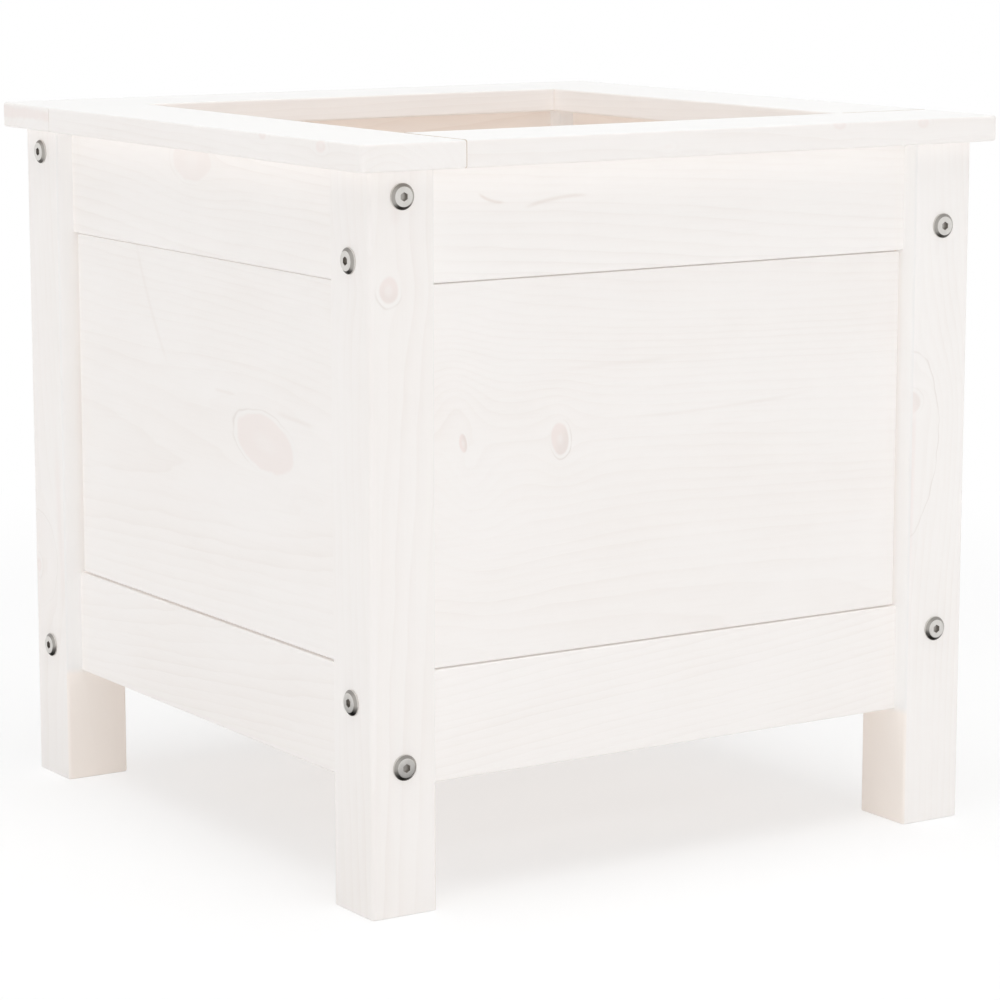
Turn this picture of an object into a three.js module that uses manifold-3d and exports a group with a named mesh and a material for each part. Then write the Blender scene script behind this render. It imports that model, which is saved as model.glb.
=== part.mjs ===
// A square wooden planter box on four post legs, in millimetres, +Z up.
// The origin lies on the floor under the middle of the box; the front looks along -Y.
//
// The box has fourfold turning symmetry. One side is built at the front and turned by
// quarters: a post at its left end, two rails with a floating panel, a rim board, the bolts
// in its face and the barrel nuts in its rails. The bolts in a face run into the rails of
// the two sides beside it, so their heights are staggered where they cross in a post.

import * as THREE from 'three';
import { mergeVertices } from 'three/addons/utils/BufferGeometryUtils.js';
import Module from 'manifold-3d';

// Overall sizes
const RIM_SIDE = 400; // outer side of the square rim
const TOTAL_HEIGHT = 390;
const SIDE_NAMES = ['front', 'right', 'back', 'left'];
const POST_NAMES = ['front_left', 'front_right', 'back_right', 'back_left'];
const LEVEL_NAMES = ['top', 'bottom'];

// Rim boards
const RIM_WIDTH = 60;
const RIM_THICKNESS = 14;
const RIM_OVERHANG = 10; // past the outer faces of the posts
const RIM_EDGE = 1.4; // easing of the long edges
const RIM_CORNER_RADIUS = 3; // outer corner of the rim, seen from above

// Posts
const POST_SIDE = 38;
const POST_CORNER_RADIUS = 2;
const POST_END_EDGE = 0.8;

// Rails
const RAIL_THICKNESS = 18;
const RAIL_HEIGHT = 58;
const RAIL_EDGE = 0.8;
const LEG_HEIGHT = 64; // clear height under the bottom rails

// Floating panels
const PANEL_THICKNESS = 14;
const PANEL_SETBACK = 0.5; // behind the outer faces of the rails
const PANEL_TOP_GAP = 0.8; // shadow gap under the top rail
const PANEL_BOTTOM_GAP = 1.4; // shadow gap over the bottom rail
const PANEL_END_GAP = 2.8; // gap between the panel's shoulder and a post
const PANEL_EDGE = 0.8;
const TONGUE_THICKNESS = 6;
const GROOVE_CLEARANCE = 0.3; // on each face of a tongue
const GROOVE_IN_RAIL = 7.5;
const GROOVE_IN_POST = 6;
const TONGUE_END_CLEARANCE = 1; // room for the wood to swell

// Bolts with barrel nuts
const BOLT_EDGE_DISTANCE = 13; // bolt axis from the nearer edge of its rail
const BOLT_DIAMETER = 6;
const BOLT_PAST_NUT = 10; // from the nut's axis to the bolt's tip
const BOLT_TIP_CHAMFER = 0.8;
const BOLT_TIP_ROOM = 1; // from the tip to the end of the bore
const HEAD_DIAMETER = 13.4;
const HEAD_FACE_DIAMETER = 10;
const HEAD_HEIGHT = 2.2;
const HEAD_RIM_HEIGHT = 0.7; // straight rim under the head's bevel
const SOCKET_ACROSS_FLATS = 4;
const SOCKET_DEPTH = 1.6;
const NUT_DISTANCE = 32; // nut's axis from the end of its rail
const NUT_DIAMETER = 10;
const NUT_LENGTH = 12;
const NUT_SLOT_WIDTH = 1.4;
const NUT_SLOT_DEPTH = 1.2;
const HOLE_CLEARANCE = 0.4; // around bolts, nuts and screws, on the radius

// Dowels and pins
const DOWEL_DIAMETER = 8; // rail to post, post and rail to rim
const DOWEL_TO_BOLT = 4; // wood between a rail's dowel and the bolt that crosses before it
const RIM_DOWEL_SKIN = 5; // wood of the rim over a dowel's hole
const POST_DOWEL_SPREAD = 8; // each of a post's two dowels from its axis, along both sides
const RAIL_DOWEL_SPREAD = 90; // each of a rail's two dowels from its middle
const BUTT_DOWEL_DIAMETER = 6; // rim board to rim board
const BUTT_DOWEL_LENGTH = 12;
const BUTT_DOWEL_SPREAD = 15; // from the middle of the rim board's width
const DOWEL_CLEARANCE = 0.3; // around a dowel, on the radius
const DOWEL_END_CLEARANCE = 0.5;

// Floor of the box
const CLEAT_SECTION = 18;
const CLEAT_END_CLEARANCE = 1.5;
const CLEAT_SIDES = ['right', 'left'];
const SLAT_COUNT = 5;
const SLAT_THICKNESS = 12;
const SLAT_GAP = 6;
const SLAT_EDGE = 0.8;
const SLAT_CLEARANCE = 1.5; // to the rails and round the posts
const SCREW_DIAMETER = 4;
const SCREW_HEAD_DIAMETER = 8;
const SCREW_DOME_HEIGHT = 1.8; // of the cleat's screws
const SCREW_RIM_HEIGHT = 0.4; // straight edge of the slats' countersunk heads
const SCREW_SINK = 0.3; // from a slat's upper face down to the top of its screws
const SCREW_BITE = 11; // length in the piece that the screw holds on to

// Colours of the white-washed wood and of the steel
const OUTER_WOOD = 0xf5f0ec;
const RIM_WOOD = 0xf7f3ef;
const PANEL_WOOD = 0xf4eeea;
const INNER_WOOD = 0xeadfd4;
const STEEL = 0xb9b7b3;
const WOOD_ROUGHNESS = 0.62;
const STEEL_ROUGHNESS = 0.38;

// Fineness of round shapes
const BOLT_SIDES = 16;
const HEXAGON_SIDES = 6;
const NUT_SIDES = 12;
const HOLE_SIDES = 8;
const CORNER_STEPS = 1; // half the steps of a rounded corner
const EDGE_STEPS = 1;

// Sizes and places that follow from the ones above
const QUARTER_TURN = Math.PI / 2;
const RIM_HALF = RIM_SIDE / 2;
const OPENING_HALF = RIM_HALF - RIM_WIDTH;
const RIM_MIDDLE = RIM_HALF - RIM_WIDTH / 2;
const BODY_HALF = RIM_HALF - RIM_OVERHANG;
const POST_AXIS = BODY_HALF - POST_SIDE / 2;
const POST_INNER = BODY_HALF - POST_SIDE;
const POST_HEIGHT = TOTAL_HEIGHT - RIM_THICKNESS;
const RAIL_LENGTH = 2 * POST_INNER;
const CAVITY_HALF = POST_AXIS - RAIL_THICKNESS / 2;
const TOP_RAIL_Z = POST_HEIGHT - RAIL_HEIGHT / 2;
const BOTTOM_RAIL_Z = LEG_HEIGHT + RAIL_HEIGHT / 2;
const PANEL_FIELD_BOTTOM = BOTTOM_RAIL_Z + RAIL_HEIGHT / 2;
const PANEL_FIELD_TOP = TOP_RAIL_Z - RAIL_HEIGHT / 2;
const PANEL_FIELD_Z = (PANEL_FIELD_BOTTOM + PANEL_FIELD_TOP) / 2;
const BOLT_OFFSET = RAIL_HEIGHT / 2 - BOLT_EDGE_DISTANCE; // from a rail's middle
const OUTER_BOLTS = [TOP_RAIL_Z + BOLT_OFFSET, BOTTOM_RAIL_Z - BOLT_OFFSET];
const INNER_BOLTS = [TOP_RAIL_Z - BOLT_OFFSET, BOTTOM_RAIL_Z + BOLT_OFFSET];
const BOLT_LENGTH = POST_SIDE + NUT_DISTANCE + BOLT_PAST_NUT;
const DOWEL_IN_POST = (POST_SIDE - BOLT_DIAMETER) / 2 - DOWEL_TO_BOLT;
const RIM_DOWEL_HEIGHT = RIM_THICKNESS - RIM_DOWEL_SKIN - DOWEL_END_CLEARANCE;
const NUT_FROM_MIDDLE = POST_INNER - NUT_DISTANCE;
const CLEAT_Z = BOTTOM_RAIL_Z;
const CLEAT_AXIS = CAVITY_HALF - CLEAT_SECTION / 2;
const FLOOR_Z = CLEAT_Z + CLEAT_SECTION / 2; // underside of the slats
const FLOOR_HALF = CAVITY_HALF - SLAT_CLEARANCE;
const SLAT_WIDTH = (2 * FLOOR_HALF - (SLAT_COUNT - 1) * SLAT_GAP) / SLAT_COUNT;
const SLAT_PITCH = SLAT_WIDTH + SLAT_GAP;
const FIRST_SLAT = -SLAT_PITCH * (SLAT_COUNT - 1) / 2;
const SLAT_PLACES = Array.from({ length: SLAT_COUNT }, (_, i) => FIRST_SLAT + i * SLAT_PITCH);
const GAP_PLACES = SLAT_PLACES.slice(1).map((place) => place - SLAT_PITCH / 2);

const wasm = await Module();
wasm.setup();

// Solids and cuts

function solidOf(geometry) {
  const bare = geometry.clone();
  bare.deleteAttribute('normal');
  bare.deleteAttribute('uv');
  const merged = mergeVertices(bare);
  const mesh = new wasm.Mesh({
    numProp: 3,
    vertProperties: new Float32Array(merged.attributes.position.array),
    triVerts: new Uint32Array(merged.index.array),
  });
  return new wasm.Manifold(mesh);
}

function geometryOf(solid) {
  const mesh = solid.getMesh();
  const indexed = new THREE.BufferGeometry();
  indexed.setAttribute('position', new THREE.BufferAttribute(mesh.vertProperties, 3));
  indexed.setIndex(new THREE.BufferAttribute(mesh.triVerts, 1));
  const geometry = indexed.toNonIndexed();
  geometry.computeVertexNormals();
  return geometry;
}

function joinAndCut(base, added, removed) {
  let solid = solidOf(base);
  for (const geometry of added) {
    solid = solid.add(solidOf(geometry));
  }
  for (const geometry of removed) {
    solid = solid.subtract(solidOf(geometry));
  }
  return geometryOf(solid);
}

// Basic forms

function roundedRectangle(width, height, radius) {
  const x = width / 2 - radius;
  const y = height / 2 - radius;
  const shape = new THREE.Shape();
  shape.absarc(x, y, radius, 0, QUARTER_TURN);
  shape.absarc(-x, y, radius, QUARTER_TURN, 2 * QUARTER_TURN);
  shape.absarc(-x, -y, radius, 2 * QUARTER_TURN, 3 * QUARTER_TURN);
  shape.absarc(x, -y, radius, 3 * QUARTER_TURN, 4 * QUARTER_TURN);
  shape.closePath();
  return shape;
}

function rectangle(width, height) {
  const shape = new THREE.Shape();
  shape.moveTo(-width / 2, -height / 2);
  shape.lineTo(width / 2, -height / 2);
  shape.lineTo(width / 2, height / 2);
  shape.lineTo(-width / 2, height / 2);
  shape.closePath();
  return shape;
}

// An outline in XY made into a slab with eased edges, its middle at the origin.
function easedSlab(outline, thickness, edge) {
  const geometry = new THREE.ExtrudeGeometry(outline, {
    depth: thickness - 2 * edge,
    curveSegments: CORNER_STEPS,
    bevelEnabled: true,
    bevelThickness: edge,
    bevelSize: edge,
    bevelOffset: -edge,
    bevelSegments: EDGE_STEPS,
  });
  return geometry.translate(0, 0, edge - thickness / 2);
}

// A planed bar along X with eased long edges and square ends, its middle at the origin.
function planedBar(length, depth, height, edge) {
  const geometry = new THREE.ExtrudeGeometry(roundedRectangle(depth, height, edge), {
    depth: length,
    curveSegments: CORNER_STEPS,
    bevelEnabled: false,
  });
  const alongX = new THREE.Matrix4().makeBasis(
    new THREE.Vector3(0, 1, 0),
    new THREE.Vector3(0, 0, 1),
    new THREE.Vector3(1, 0, 0),
  );
  return geometry.applyMatrix4(alongX).translate(-length / 2, 0, 0);
}

function box(width, depth, height, x, y, z) {
  return new THREE.BoxGeometry(width, depth, height).translate(x, y, z);
}

// Round bars between two places on an axis, through the other two coordinates
function roundBar(diameter, length, sides) {
  return new THREE.CylinderGeometry(diameter / 2, diameter / 2, Math.abs(length), sides);
}

function roundAlongX(diameter, fromX, toX, y, z, sides = HOLE_SIDES) {
  const bar = roundBar(diameter, toX - fromX, sides).rotateZ(QUARTER_TURN);
  return bar.translate((fromX + toX) / 2, y, z);
}

function roundAlongY(diameter, fromY, toY, x, z, sides = HOLE_SIDES) {
  return roundBar(diameter, toY - fromY, sides).translate(x, (fromY + toY) / 2, z);
}

function roundAlongZ(diameter, fromZ, toZ, x, y, sides = HOLE_SIDES) {
  const bar = roundBar(diameter, toZ - fromZ, sides).rotateX(QUARTER_TURN);
  return bar.translate(x, y, (fromZ + toZ) / 2);
}

// A turned piece from a profile of [radius, height along +Y] that starts and ends on the axis.
function turned(profile, sides) {
  const points = profile.map(([radius, y]) => new THREE.Vector2(radius, y));
  return new THREE.LatheGeometry(points, sides);
}

// Post, with its middle line on the Z axis and its foot at z = 0. Its sides towards +X and
// +Y carry the ends of this side's rails and of the rails of the side before.

function postGeometry() {
  const half = POST_SIDE / 2;
  const outline = roundedRectangle(POST_SIDE, POST_SIDE, POST_CORNER_RADIUS);
  const bar = easedSlab(outline, POST_HEIGHT, POST_END_EDGE).translate(0, 0, POST_HEIGHT / 2);
  const boltHole = BOLT_DIAMETER + 2 * HOLE_CLEARANCE;
  const dowelHole = DOWEL_DIAMETER + 2 * DOWEL_CLEARANCE;
  const dowelHoleEnd = half - DOWEL_IN_POST - DOWEL_END_CLEARANCE;
  const holes = [];
  for (const z of OUTER_BOLTS) {
    holes.push(roundAlongY(boltHole, -POST_SIDE, POST_SIDE, 0, z));
    holes.push(roundAlongX(dowelHole, dowelHoleEnd, POST_SIDE, 0, z));
  }
  for (const z of INNER_BOLTS) {
    holes.push(roundAlongX(boltHole, -POST_SIDE, POST_SIDE, 0, z));
    holes.push(roundAlongY(dowelHole, dowelHoleEnd, POST_SIDE, 0, z));
  }
  return joinAndCut(bar, postDowels(), [...holes, ...postGrooves()]);
}

function postDowels() {
  const from = POST_HEIGHT - RIM_DOWEL_HEIGHT;
  const to = POST_HEIGHT + RIM_DOWEL_HEIGHT;
  return [-POST_DOWEL_SPREAD, POST_DOWEL_SPREAD].map((place) =>
    roundAlongZ(DOWEL_DIAMETER, from, to, place, place));
}

function postGrooves() {
  const width = TONGUE_THICKNESS + 2 * GROOVE_CLEARANCE;
  const height = PANEL_FIELD_TOP - PANEL_FIELD_BOTTOM + 2 * GROOVE_IN_RAIL;
  const middle = POST_SIDE / 2;
  return [
    box(2 * GROOVE_IN_POST, width, height, middle, 0, PANEL_FIELD_Z),
    box(width, 2 * GROOVE_IN_POST, height, 0, middle, PANEL_FIELD_Z),
  ];
}

// Rail along X, its middle at the origin and its inner face towards +Y. `up` is 1 for the
// top rail and -1 for the bottom one; the panel's groove lies in the edge towards the panel.

function railGeometry(up, carriesCleat) {
  const bar = planedBar(RAIL_LENGTH, RAIL_THICKNESS, RAIL_HEIGHT, RAIL_EDGE);
  const added = [];
  const removed = [railGroove(up)];
  for (const end of [-1, 1]) {
    const boltZ = end * up * BOLT_OFFSET;
    removed.push(boltBore(end, boltZ), nutHole(end, boltZ));
    added.push(endDowel(end, -boltZ));
  }
  if (up > 0) {
    added.push(...railRimDowels());
  }
  if (carriesCleat) {
    removed.push(...cleatScrewHoles());
  }
  return joinAndCut(bar, added, removed);
}

function railGroove(up) {
  const width = TONGUE_THICKNESS + 2 * GROOVE_CLEARANCE;
  return box(RAIL_LENGTH + RAIL_HEIGHT, width, 2 * GROOVE_IN_RAIL, 0, 0, -up * RAIL_HEIGHT / 2);
}

function boltBore(end, z) {
  const diameter = BOLT_DIAMETER + 2 * HOLE_CLEARANCE;
  const inner = NUT_FROM_MIDDLE - BOLT_PAST_NUT - BOLT_TIP_ROOM;
  const outer = POST_INNER + BOLT_TIP_ROOM;
  return roundAlongX(diameter, end * inner, end * outer, 0, z);
}

function nutHole(end, z) {
  const diameter = NUT_DIAMETER + 2 * HOLE_CLEARANCE;
  return roundAlongY(diameter, -NUT_LENGTH / 2, RAIL_THICKNESS, end * NUT_FROM_MIDDLE, z, NUT_SIDES);
}

function endDowel(end, z) {
  const inner = POST_INNER - DOWEL_IN_POST;
  const outer = POST_INNER + DOWEL_IN_POST;
  return roundAlongX(DOWEL_DIAMETER, end * inner, end * outer, 0, z);
}

function railRimDowels() {
  const top = RAIL_HEIGHT / 2;
  return [-RAIL_DOWEL_SPREAD, RAIL_DOWEL_SPREAD].map((x) =>
    roundAlongZ(DOWEL_DIAMETER, top - RIM_DOWEL_HEIGHT, top + RIM_DOWEL_HEIGHT, x, 0));
}

function cleatScrewHoles() {
  const diameter = SCREW_DIAMETER + 2 * HOLE_CLEARANCE;
  const inner = RAIL_THICKNESS / 2;
  const end = inner - SCREW_BITE - DOWEL_END_CLEARANCE;
  return GAP_PLACES.map((x) => roundAlongY(diameter, end, 2 * inner, x, CLEAT_Z - BOTTOM_RAIL_Z));
}

// Panel in XZ round the middle of its field, with y = 0 on the middle plane of the rails. A
// tongue runs all round; its lower edge stands on the bottom of the bottom rail's groove.

function panelGeometry() {
  const fieldHeight = PANEL_FIELD_TOP - PANEL_FIELD_BOTTOM;
  const width = RAIL_LENGTH - 2 * PANEL_END_GAP;
  const height = fieldHeight - PANEL_TOP_GAP - PANEL_BOTTOM_GAP;
  const y = PANEL_SETBACK + (PANEL_THICKNESS - RAIL_THICKNESS) / 2;
  const z = (PANEL_BOTTOM_GAP - PANEL_TOP_GAP) / 2;
  const upright = new THREE.Matrix4().makeRotationX(QUARTER_TURN);
  const board = easedSlab(rectangle(width, height), PANEL_THICKNESS, PANEL_EDGE);
  board.applyMatrix4(upright).translate(0, y, z);
  const tongueLength = RAIL_LENGTH + 2 * (GROOVE_IN_POST - TONGUE_END_CLEARANCE);
  const tongueTop = fieldHeight / 2 + GROOVE_IN_RAIL - TONGUE_END_CLEARANCE;
  const tongueBottom = -fieldHeight / 2 - GROOVE_IN_RAIL;
  const tongueZ = (tongueTop + tongueBottom) / 2;
  const tongue = box(tongueLength, TONGUE_THICKNESS, tongueTop - tongueBottom, 0, 0, tongueZ);
  return joinAndCut(board, [tongue], []);
}

// Rim board of one side in plan, with z = 0 at its middle. It runs from the side of the
// board before it, at the left, to the outer corner at the right.

function rimBoardGeometry() {
  const outline = new THREE.Shape();
  const spare = 2 * RIM_EDGE;
  outline.moveTo(-OPENING_HALF - spare, -RIM_HALF);
  outline.lineTo(RIM_HALF - RIM_CORNER_RADIUS, -RIM_HALF);
  outline.absarc(
    RIM_HALF - RIM_CORNER_RADIUS,
    -RIM_HALF + RIM_CORNER_RADIUS,
    RIM_CORNER_RADIUS,
    -QUARTER_TURN,
    0,
  );
  outline.lineTo(RIM_HALF, -OPENING_HALF);
  outline.lineTo(-OPENING_HALF - spare, -OPENING_HALF);
  outline.closePath();
  const board = easedSlab(outline, RIM_THICKNESS, RIM_EDGE);
  const beyondButt = box(RIM_WIDTH, 2 * RIM_SIDE, RIM_SIDE, -OPENING_HALF - RIM_WIDTH / 2, 0, 0);
  const squared = joinAndCut(board, [], [beyondButt]);
  return joinAndCut(squared, buttDowels(), [...buttDowelHoles(), ...rimDowelHoles()]);
}

function buttDowels() {
  return [-BUTT_DOWEL_SPREAD, BUTT_DOWEL_SPREAD].map((spread) => {
    const outer = -OPENING_HALF - BUTT_DOWEL_LENGTH;
    const inner = -OPENING_HALF + BUTT_DOWEL_LENGTH;
    return roundAlongX(BUTT_DOWEL_DIAMETER, outer, inner, -RIM_MIDDLE + spread, 0);
  });
}

// Holes for the next board's dowels, in the inner edge of this one
function buttDowelHoles() {
  const diameter = BUTT_DOWEL_DIAMETER + 2 * DOWEL_CLEARANCE;
  const end = -OPENING_HALF - BUTT_DOWEL_LENGTH - DOWEL_END_CLEARANCE;
  return [-BUTT_DOWEL_SPREAD, BUTT_DOWEL_SPREAD].map((spread) =>
    roundAlongY(diameter, end, -OPENING_HALF + BUTT_DOWEL_LENGTH, RIM_MIDDLE + spread, 0));
}

// Blind holes in the underside for the dowels of this side's top rail and of the next post
function rimDowelHoles() {
  const diameter = DOWEL_DIAMETER + 2 * DOWEL_CLEARANCE;
  const bottom = -RIM_THICKNESS / 2;
  const end = bottom + RIM_DOWEL_HEIGHT + DOWEL_END_CLEARANCE;
  const places = [
    [-RAIL_DOWEL_SPREAD, -POST_AXIS],
    [RAIL_DOWEL_SPREAD, -POST_AXIS],
    [POST_AXIS - POST_DOWEL_SPREAD, -POST_AXIS + POST_DOWEL_SPREAD],
    [POST_AXIS + POST_DOWEL_SPREAD, -POST_AXIS - POST_DOWEL_SPREAD],
  ];
  return places.map(([x, y]) => roundAlongZ(diameter, bottom - RIM_DOWEL_HEIGHT, end, x, y));
}

// Bolt along +Y, with the underside of its head at y = 0

function boltGeometry() {
  const shank = BOLT_DIAMETER / 2;
  const tip = BOLT_LENGTH - BOLT_TIP_CHAMFER;
  const profile = [
    [0, -HEAD_HEIGHT],
    [HEAD_FACE_DIAMETER / 2, -HEAD_HEIGHT],
    [HEAD_DIAMETER / 2, -HEAD_RIM_HEIGHT],
    [HEAD_DIAMETER / 2, 0],
    [shank, 0],
    [shank, tip],
    [shank - BOLT_TIP_CHAMFER, BOLT_LENGTH],
    [0, BOLT_LENGTH],
  ];
  const socketRadius = SOCKET_ACROSS_FLATS / 2 / Math.cos(Math.PI / HEXAGON_SIDES);
  const socketFrom = -HEAD_HEIGHT - SOCKET_DEPTH;
  const socketTo = -HEAD_HEIGHT + SOCKET_DEPTH;
  const socket = roundAlongY(2 * socketRadius, socketFrom, socketTo, 0, 0, HEXAGON_SIDES);
  return joinAndCut(turned(profile, BOLT_SIDES), [], [socket]);
}

// Barrel nut along Y round the origin; the bolt's hole runs through it along X

function barrelNutGeometry() {
  const half = NUT_LENGTH / 2;
  const barrel = roundAlongY(NUT_DIAMETER, -half, half, 0, 0, NUT_SIDES);
  const threadHole = BOLT_DIAMETER + 2 * HOLE_CLEARANCE;
  const hole = roundAlongX(threadHole, -NUT_DIAMETER, NUT_DIAMETER, 0, 0);
  const slot = box(2 * NUT_DIAMETER, 2 * NUT_SLOT_DEPTH, NUT_SLOT_WIDTH, 0, half, 0);
  return joinAndCut(barrel, [], [hole, slot]);
}

// Wood screw along -Z with the underside of its domed head at z = 0

function domedScrew(length) {
  const head = SCREW_HEAD_DIAMETER / 2;
  const shank = SCREW_DIAMETER / 2;
  const profile = [
    [0, -length],
    [shank, -length + shank],
    [shank, 0],
    [head, 0],
    [head * Math.cos(QUARTER_TURN / 2), SCREW_DOME_HEIGHT],
    [0, SCREW_DOME_HEIGHT],
  ];
  return turned(profile, HOLE_SIDES).rotateX(QUARTER_TURN);
}

// Countersunk screw along +Z, or with room round it and a higher end, the hole for one
function countersunk(from, headEdge, to, room) {
  const head = SCREW_HEAD_DIAMETER / 2 + room;
  const shank = SCREW_DIAMETER / 2 + room;
  const profile = [
    [0, from],
    [shank, from],
    [shank, headEdge - head + shank],
    [head, headEdge],
    [head, to],
    [0, to],
  ];
  return turned(profile, HOLE_SIDES).rotateX(QUARTER_TURN);
}

// Cleat along X with its middle at the origin. Its face towards -Y lies on the bottom rail.
// It carries the screws that hold it to the rail and those that hold the slats down on it.

function cleatGeometry() {
  const length = RAIL_LENGTH - 2 * CLEAT_END_CLEARANCE;
  const half = CLEAT_SECTION / 2;
  const bar = planedBar(length, CLEAT_SECTION, CLEAT_SECTION, RAIL_EDGE);
  const railScrews = GAP_PLACES.map((x) =>
    domedScrew(CLEAT_SECTION + SCREW_BITE).rotateX(-QUARTER_TURN).translate(x, half, 0));
  const top = half + SLAT_THICKNESS - SCREW_SINK;
  const slatScrews = SLAT_PLACES.map((x) =>
    countersunk(half - SCREW_BITE, top - SCREW_RIM_HEIGHT, top, 0).translate(x, 0, 0));
  return joinAndCut(bar, [...railScrews, ...slatScrews], []);
}

// Floor slat along X with its underside at z = 0, cut clear of the posts

function slatGeometry(place) {
  const board = easedSlab(rectangle(2 * FLOOR_HALF, SLAT_WIDTH), SLAT_THICKNESS, SLAT_EDGE);
  board.translate(0, 0, SLAT_THICKNESS / 2);
  const headEdge = SLAT_THICKNESS - SCREW_SINK - SCREW_RIM_HEIGHT;
  const screwHoles = [-CLEAT_AXIS, CLEAT_AXIS].map((x) =>
    countersunk(-SLAT_THICKNESS, headEdge, 2 * SLAT_THICKNESS, HOLE_CLEARANCE).translate(x, 0, 0));
  const postRoom = POST_SIDE + 2 * SLAT_CLEARANCE;
  const posts = [];
  for (const x of [-POST_AXIS, POST_AXIS]) {
    for (const y of [-POST_AXIS, POST_AXIS]) {
      posts.push(box(postRoom, postRoom, 2 * POST_HEIGHT, x, y - place, 0));
    }
  }
  return joinAndCut(board, [], [...screwHoles, ...posts]);
}

// Materials and placing

function wood(color) {
  return new THREE.MeshStandardMaterial({ color, roughness: WOOD_ROUGHNESS, metalness: 0 });
}

function steel() {
  return new THREE.MeshStandardMaterial({ color: STEEL, roughness: STEEL_ROUGHNESS, metalness: 1 });
}

function piece(name, geometry, material, x, y, z) {
  const mesh = new THREE.Mesh(geometry, material);
  mesh.name = name;
  mesh.position.set(x, y, z);
  return mesh;
}

// One wall's rails and panel, standing on the middle plane of the posts
function wall(name, geometries, carriesCleat) {
  const group = new THREE.Group();
  const bottomRail = carriesCleat ? geometries.cleatRail : geometries.bottomRail;
  group.add(piece(`rail_top_${name}`, geometries.topRail, wood(OUTER_WOOD), 0, -POST_AXIS, TOP_RAIL_Z));
  group.add(piece(`rail_bottom_${name}`, bottomRail, wood(OUTER_WOOD), 0, -POST_AXIS, BOTTOM_RAIL_Z));
  group.add(piece(`panel_${name}`, geometries.panel, wood(PANEL_WOOD), 0, -POST_AXIS, PANEL_FIELD_Z));
  return group;
}

// The bolts in one face and the barrel nuts of the same wall's rails. Left and right are
// as seen from outside. A face's left bolts are the outer ones, its right bolts the inner
// ones, and a wall's own rails are held by the other faces' bolts, so there it turns round.
function fasteners(name, geometries) {
  const group = new THREE.Group();
  const { bolt, nut } = geometries;
  LEVEL_NAMES.forEach((level, i) => {
    const outer = OUTER_BOLTS[i];
    const inner = INNER_BOLTS[i];
    const left = `${name}_left_${level}`;
    const right = `${name}_right_${level}`;
    group.add(piece(`bolt_${left}`, bolt, steel(), -POST_AXIS, -BODY_HALF, outer));
    group.add(piece(`bolt_${right}`, bolt, steel(), POST_AXIS, -BODY_HALF, inner));
    group.add(piece(`barrel_nut_${left}`, nut, steel(), -NUT_FROM_MIDDLE, -POST_AXIS, inner));
    group.add(piece(`barrel_nut_${right}`, nut, steel(), NUT_FROM_MIDDLE, -POST_AXIS, outer));
  });
  return group;
}

function planter() {
  const geometries = {
    post: postGeometry(),
    topRail: railGeometry(1, false),
    bottomRail: railGeometry(-1, false),
    cleatRail: railGeometry(-1, true),
    panel: panelGeometry(),
    rimBoard: rimBoardGeometry(),
    bolt: boltGeometry(),
    nut: barrelNutGeometry(),
    cleat: cleatGeometry(),
  };
  const group = new THREE.Group();
  SIDE_NAMES.forEach((name, i) => {
    const side = new THREE.Group();
    const { post, rimBoard, cleat } = geometries;
    const carriesCleat = CLEAT_SIDES.includes(name);
    const rimZ = TOTAL_HEIGHT - RIM_THICKNESS / 2;
    side.rotation.z = i * QUARTER_TURN;
    side.add(piece(`post_${POST_NAMES[i]}`, post, wood(OUTER_WOOD), -POST_AXIS, -POST_AXIS, 0));
    side.add(wall(name, geometries, carriesCleat));
    side.add(piece(`rim_board_${name}`, rimBoard, wood(RIM_WOOD), 0, 0, rimZ));
    side.add(fasteners(name, geometries));
    if (carriesCleat) {
      side.add(piece(`floor_cleat_${name}`, cleat, wood(INNER_WOOD), 0, -CLEAT_AXIS, CLEAT_Z));
    }
    group.add(side);
  });
  SLAT_PLACES.forEach((place, i) => {
    const slat = slatGeometry(place);
    group.add(piece(`floor_slat_${i + 1}`, slat, wood(INNER_WOOD), 0, place, FLOOR_Z));
  });
  return group;
}

export default planter();
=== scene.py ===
"""A square planter box of white-washed pine, dressed round its packed CAD model.

Every board is a new piece that stands for its CAD node: planed, eased, bored and grooved,
with its own growth rings and knots. The bolts, the barrel nuts and the floor's screws are
turned in steel. All lengths are in metres unless a name or a comment says millimetres.
"""

import math
import random
from dataclasses import dataclass

import bmesh
import bpy
from bpy.props import FloatProperty, FloatVectorProperty, IntProperty, PointerProperty
from mathutils import Matrix, Vector


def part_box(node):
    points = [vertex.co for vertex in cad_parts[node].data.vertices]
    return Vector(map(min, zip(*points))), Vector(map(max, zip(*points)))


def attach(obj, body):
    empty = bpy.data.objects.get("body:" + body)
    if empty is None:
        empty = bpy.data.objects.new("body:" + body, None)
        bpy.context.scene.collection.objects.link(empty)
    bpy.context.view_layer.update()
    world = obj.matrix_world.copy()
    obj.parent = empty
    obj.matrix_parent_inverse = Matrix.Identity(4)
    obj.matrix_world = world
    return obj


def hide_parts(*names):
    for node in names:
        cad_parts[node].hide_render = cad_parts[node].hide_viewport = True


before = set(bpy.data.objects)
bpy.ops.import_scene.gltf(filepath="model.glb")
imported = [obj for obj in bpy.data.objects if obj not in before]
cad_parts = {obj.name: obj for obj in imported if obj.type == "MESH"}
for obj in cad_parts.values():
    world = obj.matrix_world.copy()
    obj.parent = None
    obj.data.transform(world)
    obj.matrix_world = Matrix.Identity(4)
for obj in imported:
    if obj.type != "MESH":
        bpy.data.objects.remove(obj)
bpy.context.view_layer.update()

bl_info = {
    "name": "White-washed planter box",
    "version": (1, 0, 0),
    "blender": (4, 5, 0),
    "location": "3D View > Sidebar > Planter",
    "description": "Boards of white-washed pine and steel bolts for the planter",
    "category": "Object",
}

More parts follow.
